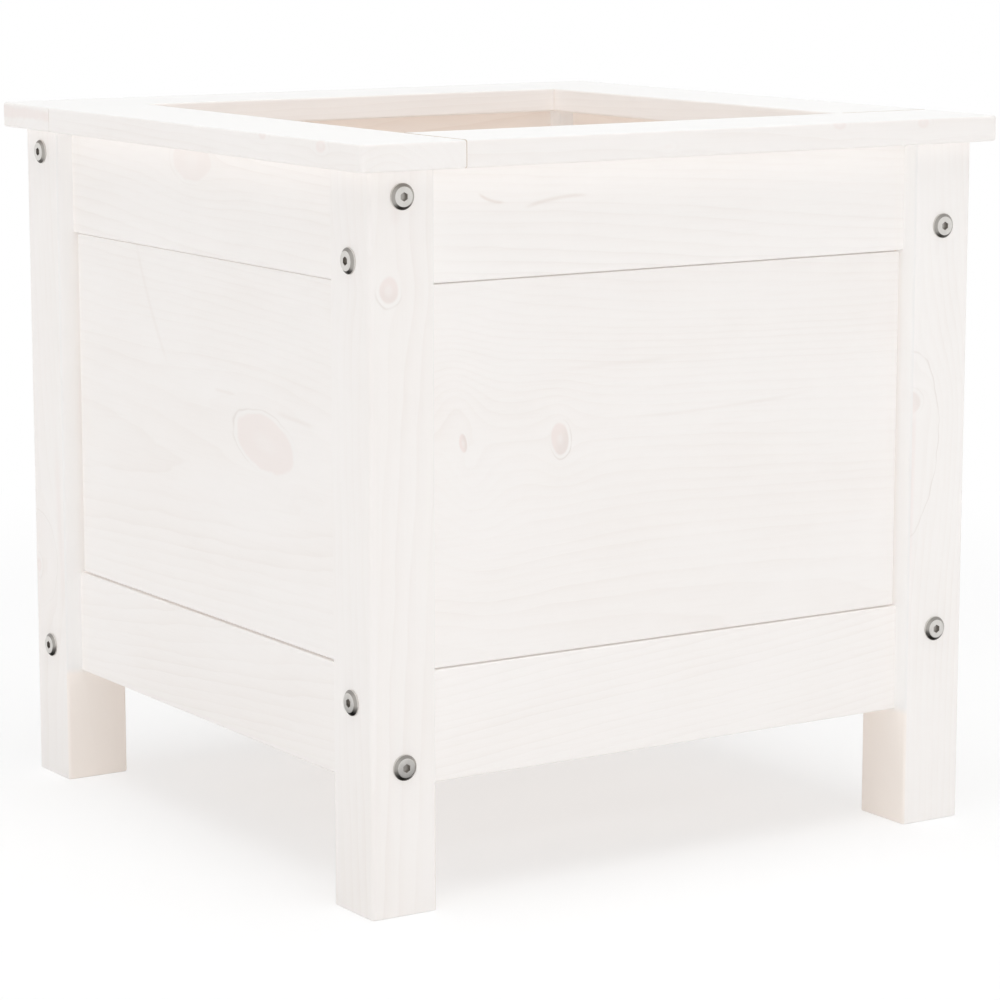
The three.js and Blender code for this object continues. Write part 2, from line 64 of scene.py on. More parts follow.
BODY = "root"
MM = 0.001
WELD = 1e-6
SAME_WAY = 0.999  # cosine from which two directions count as one
QUARTER_TURN = math.pi / 2
FULL_TURN = 2 * math.pi

# Attributes of the vertices of turned pieces
FROM_AXIS = "from_axis"
BELOW_AXIS = "below_axis"

SIDES = ("front", "right", "back", "left")
POSTS = ("front_left", "front_right", "back_right", "back_left")
LEVELS = ("top", "bottom")
CLEAT_SIDES = ("right", "left")
SLATS = 5

X = Vector((1, 0, 0))
Y = Vector((0, 1, 0))
Z = Vector((0, 0, 1))

# The CAD nodes of the front side, from which the boards take their places
POST_LOW, POST_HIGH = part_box("post_front_left")
RAIL_LOW, RAIL_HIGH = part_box("rail_bottom_front")
TOP_RAIL_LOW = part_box("rail_top_front")[0]
PANEL_LOW, PANEL_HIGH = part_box("panel_front")
RIM_LOW, RIM_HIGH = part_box("rim_board_front")
SLAT_LOW, SLAT_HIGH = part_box("floor_slat_3")
BODY_HALF = -POST_LOW.x
POST_INNER = -POST_HIGH.x
POST_AXIS = (BODY_HALF + POST_INNER) / 2
POST_TOP = RIM_LOW.z
OPENING_HALF = -RIM_HIGH.y
RIM_HALF = -RIM_LOW.y
CAVITY_HALF = -RAIL_HIGH.y
RAIL_HEIGHTS = {"top": (TOP_RAIL_LOW.z, POST_TOP), "bottom": (RAIL_LOW.z, RAIL_HIGH.z)}
CLEAT_LOW, CLEAT_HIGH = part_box("floor_cleat_right")
CLEAT_SECTION = SLAT_LOW.z - CLEAT_LOW.z
CLEAT_LENGTH = CLEAT_HIGH.y - CLEAT_LOW.y
CLEAT_AXIS = CAVITY_HALF - CLEAT_SECTION / 2


# ---------------------------------------------------------------- settings


def setting(kind, **fixed):
    """A short way to write properties of one kind."""
    return lambda name, text, default: kind(
        name=name, description=text, default=default, **fixed
    )


number = setting(FloatProperty)
count = setting(IntProperty, min=1)
share = setting(FloatProperty, min=0.0, max=1.0, subtype="FACTOR")
color = setting(FloatVectorProperty, size=3, min=0.0, max=1.0, subtype="COLOR")
metres = setting(FloatProperty, min=0.0, precision=5, subtype="DISTANCE", unit="LENGTH")
spot = setting(FloatVectorProperty, size=3, subtype="TRANSLATION", unit="LENGTH")
angle = setting(FloatProperty, subtype="ANGLE", unit="ROTATION")
watts = setting(FloatProperty, unit="POWER")
focal = setting(FloatProperty, unit="CAMERA")


def length(name, text, default):
    """A property that holds a length, given in millimetres."""
    return metres(name, text, default * MM)


class PlanterBoards(bpy.types.PropertyGroup):
    """Shapes of the boards and of the joints between them."""

    post_corner: length("Post corner", "Radius of a post's long edges", 2.0)
    board_edge: length("Board edge", "Radius of the long edges of rails and panels", 0.8)
    rim_edge: length("Rim edge", "Radius of the rim boards' edges", 1.4)
    rim_joint: length("Rim joint", "Dark line where a rim board butts on the next", 0.45)
    rim_corner: length("Rim corner", "Radius of the rim's outer corners from above", 3.0)
    end_edge: length("End edge", "Easing round the feet of the posts", 0.8)
    saw_edge: length("Saw edge", "Easing round the ends that meet another board", 0.25)
    panel_top_gap: length("Gap above panel", "From a panel to the top rail", 0.5)
    panel_bottom_gap: length("Gap below panel", "From a panel to the bottom rail", 0.75)
    panel_end_gap: length("Gap beside panel", "From a panel to a post", 2.8)
    panel_shift: length("Panel shift", "From a panel's middle to its wall's", 0.9)
    panel_lift: length("Panel lift", "How much higher the left panel lies", 0.27)
    tongue: length("Tongue", "Thickness of the tongue round a panel", 6.0)
    groove_play: length("Groove play", "Clearance on each face of a tongue", 0.3)
    groove_in_rail: length("Groove in rail", "Depth of the groove in a rail", 7.5)
    groove_in_post: length("Groove in post", "Depth of the groove in a post", 6.0)
    bolt_edge: length("Bolt to edge", "From a bolt's axis to the edge of its rail", 13.0)
    nut_distance: length("Nut distance", "From a barrel nut's axis to its rail's end", 32.0)
    dowel: length("Dowel", "Diameter of the dowels", 8.0)
    dowel_reach: length("Dowel reach", "Length of a dowel on each side of a joint", 12.0)
    dowel_play: length("Dowel play", "Clearance round a dowel, on the radius", 0.3)
    rim_dowel_reach: length("Rim dowel reach", "Length of a dowel in the rim", 8.5)
    post_dowel_spread: length("Post dowels", "A post's dowels from its axis", 8.0)
    rail_dowel_spread: length("Rail dowels", "A rail's dowels from its middle", 90.0)
    butt_dowel: length("Butt dowel", "Diameter of the dowels between rim boards", 6.0)
    butt_dowel_spread: length("Butt dowels", "Butt dowels from the board's middle", 15.0)
    segments: count("Edge segments", "Faces round an eased edge", 4)


class PlanterPine(bpy.types.PropertyGroup):
    """Look of the white-washed pine."""

    wash: color("Wash", "Colour of washed wood between its rings", (0.905, 0.876, 0.855))
    warm_wash: color("Warm wash", "Colour where the wash is thinner", (0.898, 0.864, 0.839))
    ring: color("Rings", "Colour of the late wood under the wash", (0.76, 0.685, 0.635))
    core: color("Knot", "Colour of a knot's core", (0.86, 0.775, 0.745))
    bark: color("Bark ring", "Colour of the bark round a knot", (0.70, 0.645, 0.605))
    # The rim's top face is whiter and cooler than its sides: a painted highlight for the
    # light from above
    painted_top_light: color("Thick wash", "Colour of the rim's top", (0.895, 0.893, 0.885))
    pale_wash: color("Pale wash", "Colour where it is thickest", (0.935, 0.91, 0.89))
    # The posts' inner sides, in the corners by the walls, carry painted shade; below the
    # walls, the legs' inner sides carry painted warm bounce light
    painted_side_shade: color("Side wash", "Colour of the posts' inner sides", (0.855, 0.845, 0.835))
    painted_leg_bounce: color("Leg wash", "Colour of the legs' inner sides", (0.925, 0.86, 0.805))
    bare: color("Bare wood", "Colour of cut faces and inner faces", (0.88, 0.77, 0.68))
    bare_ring: color("Bare rings", "Colour of late wood on bare faces", (0.78, 0.63, 0.52))
    end_grain: color("End grain", "Sawn ends and late wood of the floor", (0.64, 0.57, 0.52))
    ring_width: length("Ring width", "Distance between growth rings", 4.0)
    ring_depth: share("Ring contrast", "How strongly the rings show", 0.135)
    fibre_depth: share("Fibre contrast", "How strongly the fibres show", 0.12)
    relief: length("Relief", "Height of the late wood over the early wood", 0.06)
    roughness: share("Roughness", "Roughness of the washed wood", 0.58)


class PlanterSteel(bpy.types.PropertyGroup):
    """Shapes and look of the bolts, the barrel nuts and the screws."""

    zinc: color("Zinc", "Colour of the zinc plating", (0.72, 0.70, 0.67))
    # Shaded zinc: a darker copy of the plating, painted shade on the bolts' bevels and in
    # sockets, slots, bores and recesses
    shaded: color("Dull zinc", "Colour of the dull plating on bevels", (0.41, 0.39, 0.365))
    # Bevel shade: painted shade and reflection, darkest on the lower side of each bevel
    bevel_shade: color("Film", "Colour of the dark film under the bevels", (0.05, 0.045, 0.04))
    shade: color("Zinc clouds", "Colour of the plating's patches", (0.30, 0.28, 0.26))
    roughness: share("Roughness", "Roughness of the plating", 0.36)
    head: length("Head", "Diameter of a bolt's head", 13.4)
    head_face: length("Head face", "Diameter of the head's flat face", 9.8)
    head_height: length("Head height", "Height of the head over the post", 2.2)
    head_rim: length("Head rim", "Height of the straight edge under the bevel", 0.7)
    bolt: length("Bolt", "Diameter of a bolt's shank", 6.0)
    bolt_play: length("Bolt play", "Clearance round a bolt, on the radius", 0.4)
    bolt_length: length("Bolt length", "From under the head to the tip", 80.0)
    socket: length("Socket", "Across the flats of the hexagon socket", 4.0)
    socket_depth: length("Socket depth", "Depth of the hexagon socket", 1.6)
    nut: length("Barrel nut", "Diameter of a barrel nut", 10.0)
    nut_length: length("Nut length", "Length of a barrel nut", 12.0)
    bolt_tip: length("Bolt tip", "Chamfer at a bolt's tip", 0.8)
    nut_slot: length("Nut slot", "Width of the slot in a barrel nut's end", 1.4)
    nut_slot_depth: length("Nut slot depth", "Depth of the slot in a barrel nut", 1.2)
    nut_edge: length("Nut edge", "Chamfer of a barrel nut's ends", 0.4)
    turning_pitch: length("Turning marks", "Distance between turning marks", 0.18)
    screw: length("Screw", "Diameter of the floor's screws", 4.0)
    screw_head: length("Screw head", "Diameter of the screws' heads", 8.0)
    screw_dome: length("Screw dome", "Height of the cleat screws' domed heads", 1.8)
    screw_rim: length("Screw rim", "Straight edge of the slat screws' heads", 0.4)
    screw_sink: length("Screw sink", "From a slat's face down to its screws", 0.3)
    screw_bite: length("Screw bite", "Length in the piece that a screw holds on to", 11.0)
    screw_recess: length("Screw recess", "Depth of the cross recess in a screw", 1.2)
    steps: count("Round steps", "Faces round a turned piece", 48)


class PlanterStudio(bpy.types.PropertyGroup):
    """The floor, the lamps and the camera."""

    floor: color("Floor", "Colour of the floor", (0.93, 0.93, 0.93))
    floor_half: metres("Floor size", "Half the side of the floor", 40.0)
    floor_glow: share("Floor glow", "White that the camera sees in the floor's shade", 0.5)
    sky: number("Sky", "Strength of the plain sky", 0.45)
    top_lamp: watts("Top lamp", "Power of the lamp overhead", 27.0)
    top_fill: watts("Top fill", "Power of the lamp overhead that casts no shadow", 18.0)
    lamp_gap: metres("Lamp gap", "From the lamp overhead up to the one without shadow", 0.2)
    top_lamp_size: metres("Top lamp size", "Side of the lamp overhead", 2.5)
    top_lamp_place: spot("Top lamp place", "Where the top lamp hangs", (-0.3, -0.5, 3.0))
    fill: watts("Fill", "Power of each fill lamp", 9.0)
    fill_lamps: count("Fill lamps", "Number of fill lamps in the ring", 8)
    fill_distance: metres("Fill distance", "From the fill lamps to the box", 3.0)
    fill_height: metres("Fill height", "Height of the fill lamps", 0.9)
    fill_size: metres("Fill size", "Side of a fill lamp", 1.2)
    camera_place: spot(
        "Camera place", "Where the camera stands", (-1.0775407, -1.6723107, 0.5149158)
    )
    camera_turn: angle("Camera turn", "From +Y towards +X", 0.5764)
    camera_dip: angle("Camera dip", "Angle below the horizon", 0.1721)
    lens: focal("Lens", "Focal length in millimetres", 128.430)


GROUPS = {
    "planter_boards": PlanterBoards,
    "planter_pine": PlanterPine,
    "planter_steel": PlanterSteel,
    "planter_studio": PlanterStudio,
}


# ---------------------------------------------------------------- shader nodes


class Socket:
    """An output of a node. Arithmetic on it adds Math nodes to its material."""

    def __init__(self, shader, output):
        self.shader = shader
        self.output = output

    def math(self, operation, *values):
        settings = {"operation": operation}
        return self.shader.node("ShaderNodeMath", settings, enumerate(values))

    def __add__(self, other):
        return self.math("ADD", self, other)

    def __sub__(self, other):
        return self.math("SUBTRACT", self, other)

    def __rsub__(self, other):
        return self.math("SUBTRACT", other, self)

    def __mul__(self, other):
        return self.math("MULTIPLY", self, other)

    def __truediv__(self, other):
        return self.math("DIVIDE", self, other)

    def __rtruediv__(self, other):
        return self.math("DIVIDE", other, self)

    def __pow__(self, other):
        return self.math("POWER", self, other)

    __radd__ = __add__
    __rmul__ = __mul__

    def root(self):
        return self.math("SQRT", self)

    def size(self):
        return self.math("ABSOLUTE", self)

    def part(self):
        """What is left after the whole numbers are taken off."""
        return self.math("FRACT", self)

    def whole(self):
        return self.math("FLOOR", self)

    def between(self, low, high):
        """Low where this is 0, high where it is 1, and in step with it between."""
        return self.math("MULTIPLY_ADD", self, high - low, low)

    def rise(self, start, end):
        """0 before start and 1 after end, or the other way round, with a soft change."""
        return self.shader.node(
            "ShaderNodeMapRange",
            {"interpolation_type": "SMOOTHSTEP", "clamp": True},
            {"Value": self, "From Min": start, "From Max": end},
        )


class Shader:
    """The nodes of one material, or of the sky where a world is given."""

    def __init__(self, name, world=None):
        self.owner = world or bpy.data.materials.new(name)
        self.owner.use_nodes = True
        self.tree = self.owner.node_tree
        self.tree.nodes.clear()

    def node(self, kind, settings=None, inputs=(), output=0):
        """Adds a node, sets it, fills its inputs with values or links; gives one output."""
        made = self.tree.nodes.new(kind)
        for name, value in (settings or {}).items():
            setattr(made, name, value)
        for key, value in dict(inputs).items():
            if isinstance(value, Socket):
                self.tree.links.new(value.output, made.inputs[key])
            else:
                made.inputs[key].default_value = value
        return Socket(self, made.outputs[output]) if made.outputs else None

    def place(self):
        return self.node("ShaderNodeTexCoord", output="Object")

    def attribute(self, name):
        return self.node("ShaderNodeAttribute", {"attribute_name": name}, output="Fac")

    def vector(self, operation, *values, output=0):
        settings = {"operation": operation}
        return self.node("ShaderNodeVectorMath", settings, enumerate(values), output)

    def point(self, x, y, z):
        return self.node("ShaderNodeCombineXYZ", None, {"X": x, "Y": y, "Z": z})

    def noise(self, place, scale=1.0, detail=2.0):
        inputs = {"Vector": place, "Scale": scale, "Detail": detail}
        return self.node("ShaderNodeTexNoise", None, inputs)

    def mix(self, amount, first, second):
        """A colour between two others: inputs 6 and 7 of the node, and its output 2."""
        settings = {"data_type": "RGBA"}
        colors = {0: amount, 6: opaque(first), 7: opaque(second)}
        return self.node("ShaderNodeMix", settings, colors, 2)

    def blend(self, amount, first, second):
        """A shader between two others."""
        return self.node("ShaderNodeMixShader", None, {0: amount, 1: first, 2: second})

    def surface(self, inputs, height=None, distance=0.0):
        """Ends the material with a Principled shader, bumped where there is a height."""
        inputs = dict(inputs)
        if height is not None:
            bump = {"Height": height, "Distance": distance, "Strength": 1.0}
            inputs["Normal"] = self.node("ShaderNodeBump", None, bump)
        shader = self.node("ShaderNodeBsdfPrincipled", None, inputs)
        self.node("ShaderNodeOutputMaterial", None, {"Surface": shader})
        return self.owner


def opaque(rgb):
    """A colour for a node's input; what another node gives stays as it is."""
    return rgb if isinstance(rgb, Socket) else (*rgb, 1.0)


# ---------------------------------------------------------------- pine


# Where on a board a coat begins and is full, in millimetres from its middle
INNER_FACE = (-6.2, -6.9)
UPPER_FACE = (6.2, 6.9)
RIGHT_OF_POST = (17.6, 18.4)
BACK_OF_POST = (-17.6, -18.4)
BELOW_THE_WALLS = (-121.0, -127.0)

# Growth rings, in millimetres and shares
WANDER = 13.0  # how far a board's rings wander aside
RIPPLE = 1.1  # how far a ring ripples along the grain
DARKENING = 2.6  # power by which a ring darkens towards its end
RING_END = (1.0, 0.93)  # shares of a ring between which its late wood ends
RING_WEIGHT = (0.1, 1.6)  # of the faintest and of the darkest ring
BEND = -0.92  # share of a knot's distance by which the grain gives way to it
BEND_HEART = 0.75  # keeps the bend small in the knot's middle

# Knots, in millimetres from the line between the core and the bark
KNOT_WOBBLE = 1.5  # how uneven the line is
CORE_EDGE = (0.4, 2.2)  # how far inside it the core begins and is full
PALE_LINE = 2.0  # width of the pale line inside it

# Knots, in shares of their half size
HEART = (0.5, 0.1)  # where the paler middle of a core begins and is full
HEART_TONE = 0.6  # strength of the core there
SHADY_CORE = (-0.5, 0.5)  # across the core, to its grey side
SHADY_BARK = (-0.7, 0.9)  # round the bark, to its dark side
SHADY_PALE = (-0.5, 0.7)  # the same for the pale line
BARK_PATCHES = (0.4, 1.0)  # strength of the bark in its faint and its dark patches

# The wash where it is thick and where it is thin
PALE_SHOWS = (1.0, 0.8)
RINGS_SHOW = (0.55, 1.45)

# Late wood on bare faces, from the early wood's share to its own
BARE_RINGS = (0.0, 0.5)
# The floor's bare wood is darker: partly its own colour, partly painted shade inside the box
FLOOR_RINGS = (0.25, 0.75)
BARE_FIBRES = 0.05  # how much the fibres change a bare coat

# Strengths of the marks in the colour, in the wood's relief and in its roughness
CORE_MARK, BARK_MARK, PALE_MARK = 0.7, 0.6, 0.6
RING_RELIEF, FIBRE_RELIEF, CORE_RELIEF, BARK_RELIEF = 0.8, 0.5, 0.7, 0.6
FIBRE_ROUGHNESS, RING_ROUGHNESS = 0.08, 0.08


@dataclass(frozen=True)
class Mark:
    """A mark in the wood, in millimetres along and across its board from the middle.

    An edge mark lies on the narrow side, and its second number runs through the board.
    """

    along: float
    aside: float
    length: float
    width: float
    tilt: float = 0.0  # degrees
    edge: bool = False


@dataclass(frozen=True)
class Knot(Mark):
    """A knot, with the strengths of its core and of the bark round it."""

    core: float = 1.0
    grey: float = 0.0  # how far the shady half of the core turns grey
    bark: float = 1.0
    line: float = 0.9  # half the width of the bark
    shady: float = 0.0  # direction of the darkest bark, in degrees from along to aside
    flow: tuple = (1.6, 1.5)  # how far round it the grain bends, in its own half sizes


@dataclass(frozen=True)
class Streak(Mark):
    """A dark or reddish line in the grain."""

    bend: float = 0.0  # rise over the square of the way along, per millimetre
    depth: float = 0.5
    red: bool = False


@dataclass(frozen=True)
class Look:
    """What is special to one board's wood."""

    seed: float
    pale: float = 0.0  # how far the wash is paler than on the other boards
    pith: tuple = (-20.0, -70.0)  # millimetres across and through, from the board's middle
    taper: float = 0.02  # how fast the rings leave the board along it
    knots: tuple = ()
    streaks: tuple = ()


@dataclass(frozen=True)
class Coat:
    """How far the colour on some faces differs from the rest, from 0 to 1."""

    inner: float = 0.0  # bare wood on the inner face
    upper: float = 0.0  # painted highlight: upper face whiter and cooler, lit from above
    sides: float = 0.0  # painted shade on posts' inner sides, painted warm bounce on legs
    bare: float = 0.0  # bare wood all round, darker: its own colour and painted shade


@dataclass(frozen=True)
class Grain:
    """A board's own directions and its middle."""

    middle: Vector
    along: Vector
    across: Vector
    through: Vector

    def turned(self, quarter_turns):
        turn = Matrix.Rotation(quarter_turns * QUARTER_TURN, 3, "Z")
        return Grain(
            turn @ self.middle, turn @ self.along, turn @ self.across, turn @ self.through
        )


LOOKS = {
    "panel_front": Look(
        seed=3.0, pith=(-95.0, -58.0), taper=0.035,
        knots=(
            Knot(-129.1, 16.0, 5.5, 12.0, tilt=12, core=1.4, grey=0.35, bark=0.2,
                 flow=(5.5, 5.4)),
            Knot(-70.5, 13.8, 13.0, 19.0, tilt=8, core=1.2, grey=0.35, bark=0.9, shady=-50),
        ),
        streaks=(
            Streak(-30.0, 50.0, 90.0, 2.0, tilt=1, depth=0.12),
            Streak(30.0, 22.0, 130.0, 1.5, tilt=2, bend=0.0004, depth=0.16),
        ),
    ),
    "panel_left": Look(
        seed=8.0, pith=(-10.0, -52.0), taper=0.03,
        knots=(
            Knot(66.1, 5.6, 66.0, 31.0, tilt=-9, core=0.8, bark=0.7, line=0.8, shady=150),
        ),
        streaks=(
            Streak(-61.0, 66.0, 82.0, 2.6, tilt=-61, bend=0.002, depth=0.16),
            Streak(23.0, 27.7, 26.0, 1.6, tilt=0, depth=0.25),
            Streak(98.0, 22.0, 44.0, 2.2, tilt=-4, depth=0.22),
        ),
    ),
    "post_front_left": Look(
        seed=5.0, pith=(34.0, -46.0),
        knots=(Knot(129.3, -7.8, 16.0, 14.0, core=1.1, grey=0.25, bark=0.7, shady=190),),
        streaks=(Streak(172.0, -4.0, 26.0, 5.0, depth=0.3, red=True),),
    ),
    "post_front_right": Look(
        seed=12.0, pale=0.4, pith=(-6.0, -52.0),
        knots=(
            Knot(48.0, -20.0, 15.0, 17.0, edge=True, core=0.8, grey=0.3, bark=0.3,
                 shady=40),
            Knot(22.0, -25.0, 106.0, 48.0, edge=True, tilt=6, core=0.0, bark=0.75, line=0.6,
                 shady=70, flow=(1.2, 1.2)),
        ),
        streaks=(
            Streak(0.0, -18.0, 110.0, 3.0, edge=True, tilt=1, depth=0.5, red=True),
        ),
    ),
    "post_back_left": Look(
        seed=21.0, pith=(-42.0, -30.0),
        knots=(
            Knot(-66.2, -14.3, 12.0, 8.0, core=0.9, bark=0.5, shady=90),
            Knot(-62.0, -16.0, 56.0, 50.0, core=0.12, bark=0.55, line=0.6, shady=60),
        ),
        streaks=(Streak(-40.0, 14.0, 110.0, 6.0, tilt=-3, depth=0.35, red=True),),
    ),
    "rail_top_front": Look(
        seed=31.0, pale=0.7, pith=(-60.0, -34.0), taper=0.05,
        streaks=(
            Streak(-113.0, 10.5, 18.0, 1.3, tilt=-18, bend=0.02, depth=0.55),
            Streak(-74.0, 9.8, 42.0, 1.7, tilt=7, bend=-0.004, depth=0.4),
        ),
    ),
    "rail_bottom_front": Look(seed=37.0, pale=0.35, pith=(70.0, -30.0), taper=0.09),
    "rail_top_left": Look(
        seed=41.0, pale=0.35, pith=(-48.0, -40.0),
        knots=(Knot(-9.5, 21.0, 46.0, 24.0, core=0.5, bark=0.2, shady=200),),
    ),
    "rail_bottom_left": Look(seed=45.0, pith=(50.0, -44.0), taper=0.06),
    "rim_board_front": Look(
        seed=51.0, pith=(18.0, -30.0),
        knots=(
            Knot(61.5, 6.0, 11.0, 8.0, edge=True, core=0.7, bark=0.3, shady=90),
            Knot(118.0, 5.0, 10.0, 8.0, edge=True, core=0.7, bark=0.3, shady=90),
            Knot(-49.0, -1.0, 9.0, 5.0, edge=True, core=0.3, bark=0.1),
        ),
    ),
    "rim_board_left": Look(
        seed=57.0, pith=(-14.0, -26.0),
        knots=(
            Knot(73.4, 6.0, 12.0, 8.0, edge=True, core=0.8, bark=0.4, shady=90),
            Knot(132.0, 4.0, 13.0, 9.0, edge=True, core=0.8, bark=0.3, shady=60),
        ),
    ),
    "rim_board_back": Look(
        seed=63.0, pith=(22.0, -34.0),
        knots=(Knot(174.0, 2.0, 15.0, 11.0, edge=True, core=0.8, bark=0.1),),
    ),
}


def seeded_look(name, size):
    """The wood of a board that has none in the table: up to two small knots."""
    draw = random.Random(name)
    board_length, board_width, _ = sorted(size / MM, reverse=True)
    knots = []
    for _ in range(draw.choice((0, 1, 1, 2))):
        size = draw.uniform(6, 16)
        knots.append(
            Knot(
                draw.uniform(-0.4, 0.4) * board_length,
                draw.uniform(-0.35, 0.35) * board_width,
                size * draw.uniform(1.0, 1.5),
                size,
                tilt=draw.uniform(-20, 20),
                core=draw.uniform(0.5, 1.0),
                bark=draw.uniform(0.5, 1.0),
                shady=draw.uniform(0, 360),
            )
        )
    pith = (draw.uniform(-60, 60), draw.uniform(-70, -30))
    seed, taper = draw.uniform(70, 170), draw.uniform(0.01, 0.06)
    return Look(seed, draw.uniform(0.0, 0.5), pith, taper, tuple(knots))


class Wood:
    """The fields of one board's wood, from which its colour and its relief are mixed."""

    def __init__(self, shader, grain, look):
        self.shader = shader
        self.look = look
        pine = bpy.context.scene.planter_pine
        self.ring_width = pine.ring_width / MM
        from_middle = shader.vector("SUBTRACT", shader.place(), grain.middle)
        self.along, self.across, self.through = (
            shader.vector("DOT_PRODUCT", from_middle, axis, output="Value") / MM
            for axis in (grain.along, grain.across, grain.through)
        )

    def noise(self, stretch, fineness, detail=2.0):
        """Noise in patches 1 / fineness millimetres wide, stretched along the grain."""
        place = self.shader.point(
            self.along * (fineness / stretch) + self.look.seed,
            self.across * fineness + 2.7 * self.look.seed,
            self.through * fineness,
        )
        return self.shader.noise(place, detail=detail)

    def seen_from(self, mark):
        """The two coordinates of a mark's face, from the mark's place, turned with it."""
        aside = (self.through if mark.edge else self.across) - mark.aside
        along = self.along - mark.along
        cosine = math.cos(math.radians(mark.tilt))
        sine = math.sin(math.radians(mark.tilt))
        return along * cosine + aside * sine, aside * cosine - along * sine

    def bent(self, knot):
        """How far the grain is pushed aside round a knot."""
        along, aside = self.seen_from(knot)
        x = along / (knot.length / 2 * knot.flow[0])
        y = aside / (knot.width / 2 * knot.flow[1])
        return aside * BEND / (x * x + y * y + BEND_HEART)

    def rings(self):
        """The late wood of the growth rings: 0 in the early wood and 1 at a ring's end."""
        across = self.across
        through = self.through
        for knot in self.look.knots:
            if knot.edge:
                through = through + self.bent(knot)
            else:
                across = across + self.bent(knot)
        wander = self.noise(stretch=9.0, fineness=0.016, detail=1.0)
        ripple = self.noise(stretch=5.0, fineness=0.11, detail=1.0)
        y = across - self.look.pith[0] + wander.between(-WANDER, WANDER)
        z = through - self.look.pith[1]
        radius = (y * y + z * z).root() + self.along * self.look.taper
        ring = (radius + ripple.between(-RIPPLE, RIPPLE)) / self.ring_width
        left = ring.part()
        late = left ** DARKENING * left.rise(*RING_END)
        own_place = self.shader.point(ring.whole() * 0.37, 0.5, 0.5)
        chance = self.shader.noise(own_place, scale=3.0, detail=0.0)
        return late * chance.between(*RING_WEIGHT)

    def knot_marks(self, knot):
        """A knot's core, how grey it is, the bark round it and the pale line between."""
        along, aside = self.seen_from(knot)
        x = along / (knot.length / 2)
        y = aside / (knot.width / 2)
        millimetre = 2 / knot.width
        wobble = self.noise(stretch=1.0, fineness=0.09, detail=1.0)
        reach = KNOT_WOBBLE * millimetre
        distance = (x * x + y * y).root() + wobble.between(-reach, reach)
        to_shade = math.radians(knot.shady)
        shady = x * math.cos(to_shade) + y * math.sin(to_shade)
        side = shady / (distance + 0.2)  # the sum keeps it finite in the middle
        core = distance.rise(*(1.0 - inside * millimetre for inside in CORE_EDGE))
        core = core * distance.rise(*HEART).between(1.0, HEART_TONE)
        grey = shady.rise(*SHADY_CORE) * knot.grey
        patches = self.noise(stretch=2.0, fineness=0.12, detail=1.0).rise(0.3, 0.6)
        edge = 1.0 + knot.line * millimetre
        bark = distance.rise(1.0, edge) * distance.rise(2 * edge - 1.0, edge)
        start = 1.0 - PALE_LINE * millimetre
        pale = distance.rise(start, 1.0) * distance.rise(edge, 1.0)
        return (
            core * knot.core,
            grey,
            bark * side.rise(*SHADY_BARK) * patches.between(*BARK_PATCHES) * knot.bark,
            pale * side.rise(*SHADY_PALE) * knot.core,
        )

    def streak(self, streak):
        along, aside = self.seen_from(streak)
        off_line = (aside - along * along * streak.bend).size() / streak.width
        way = along.size() / (streak.length / 2)
        return off_line.rise(1.0, 0.0) * way.rise(1.0, 0.55) * streak.depth


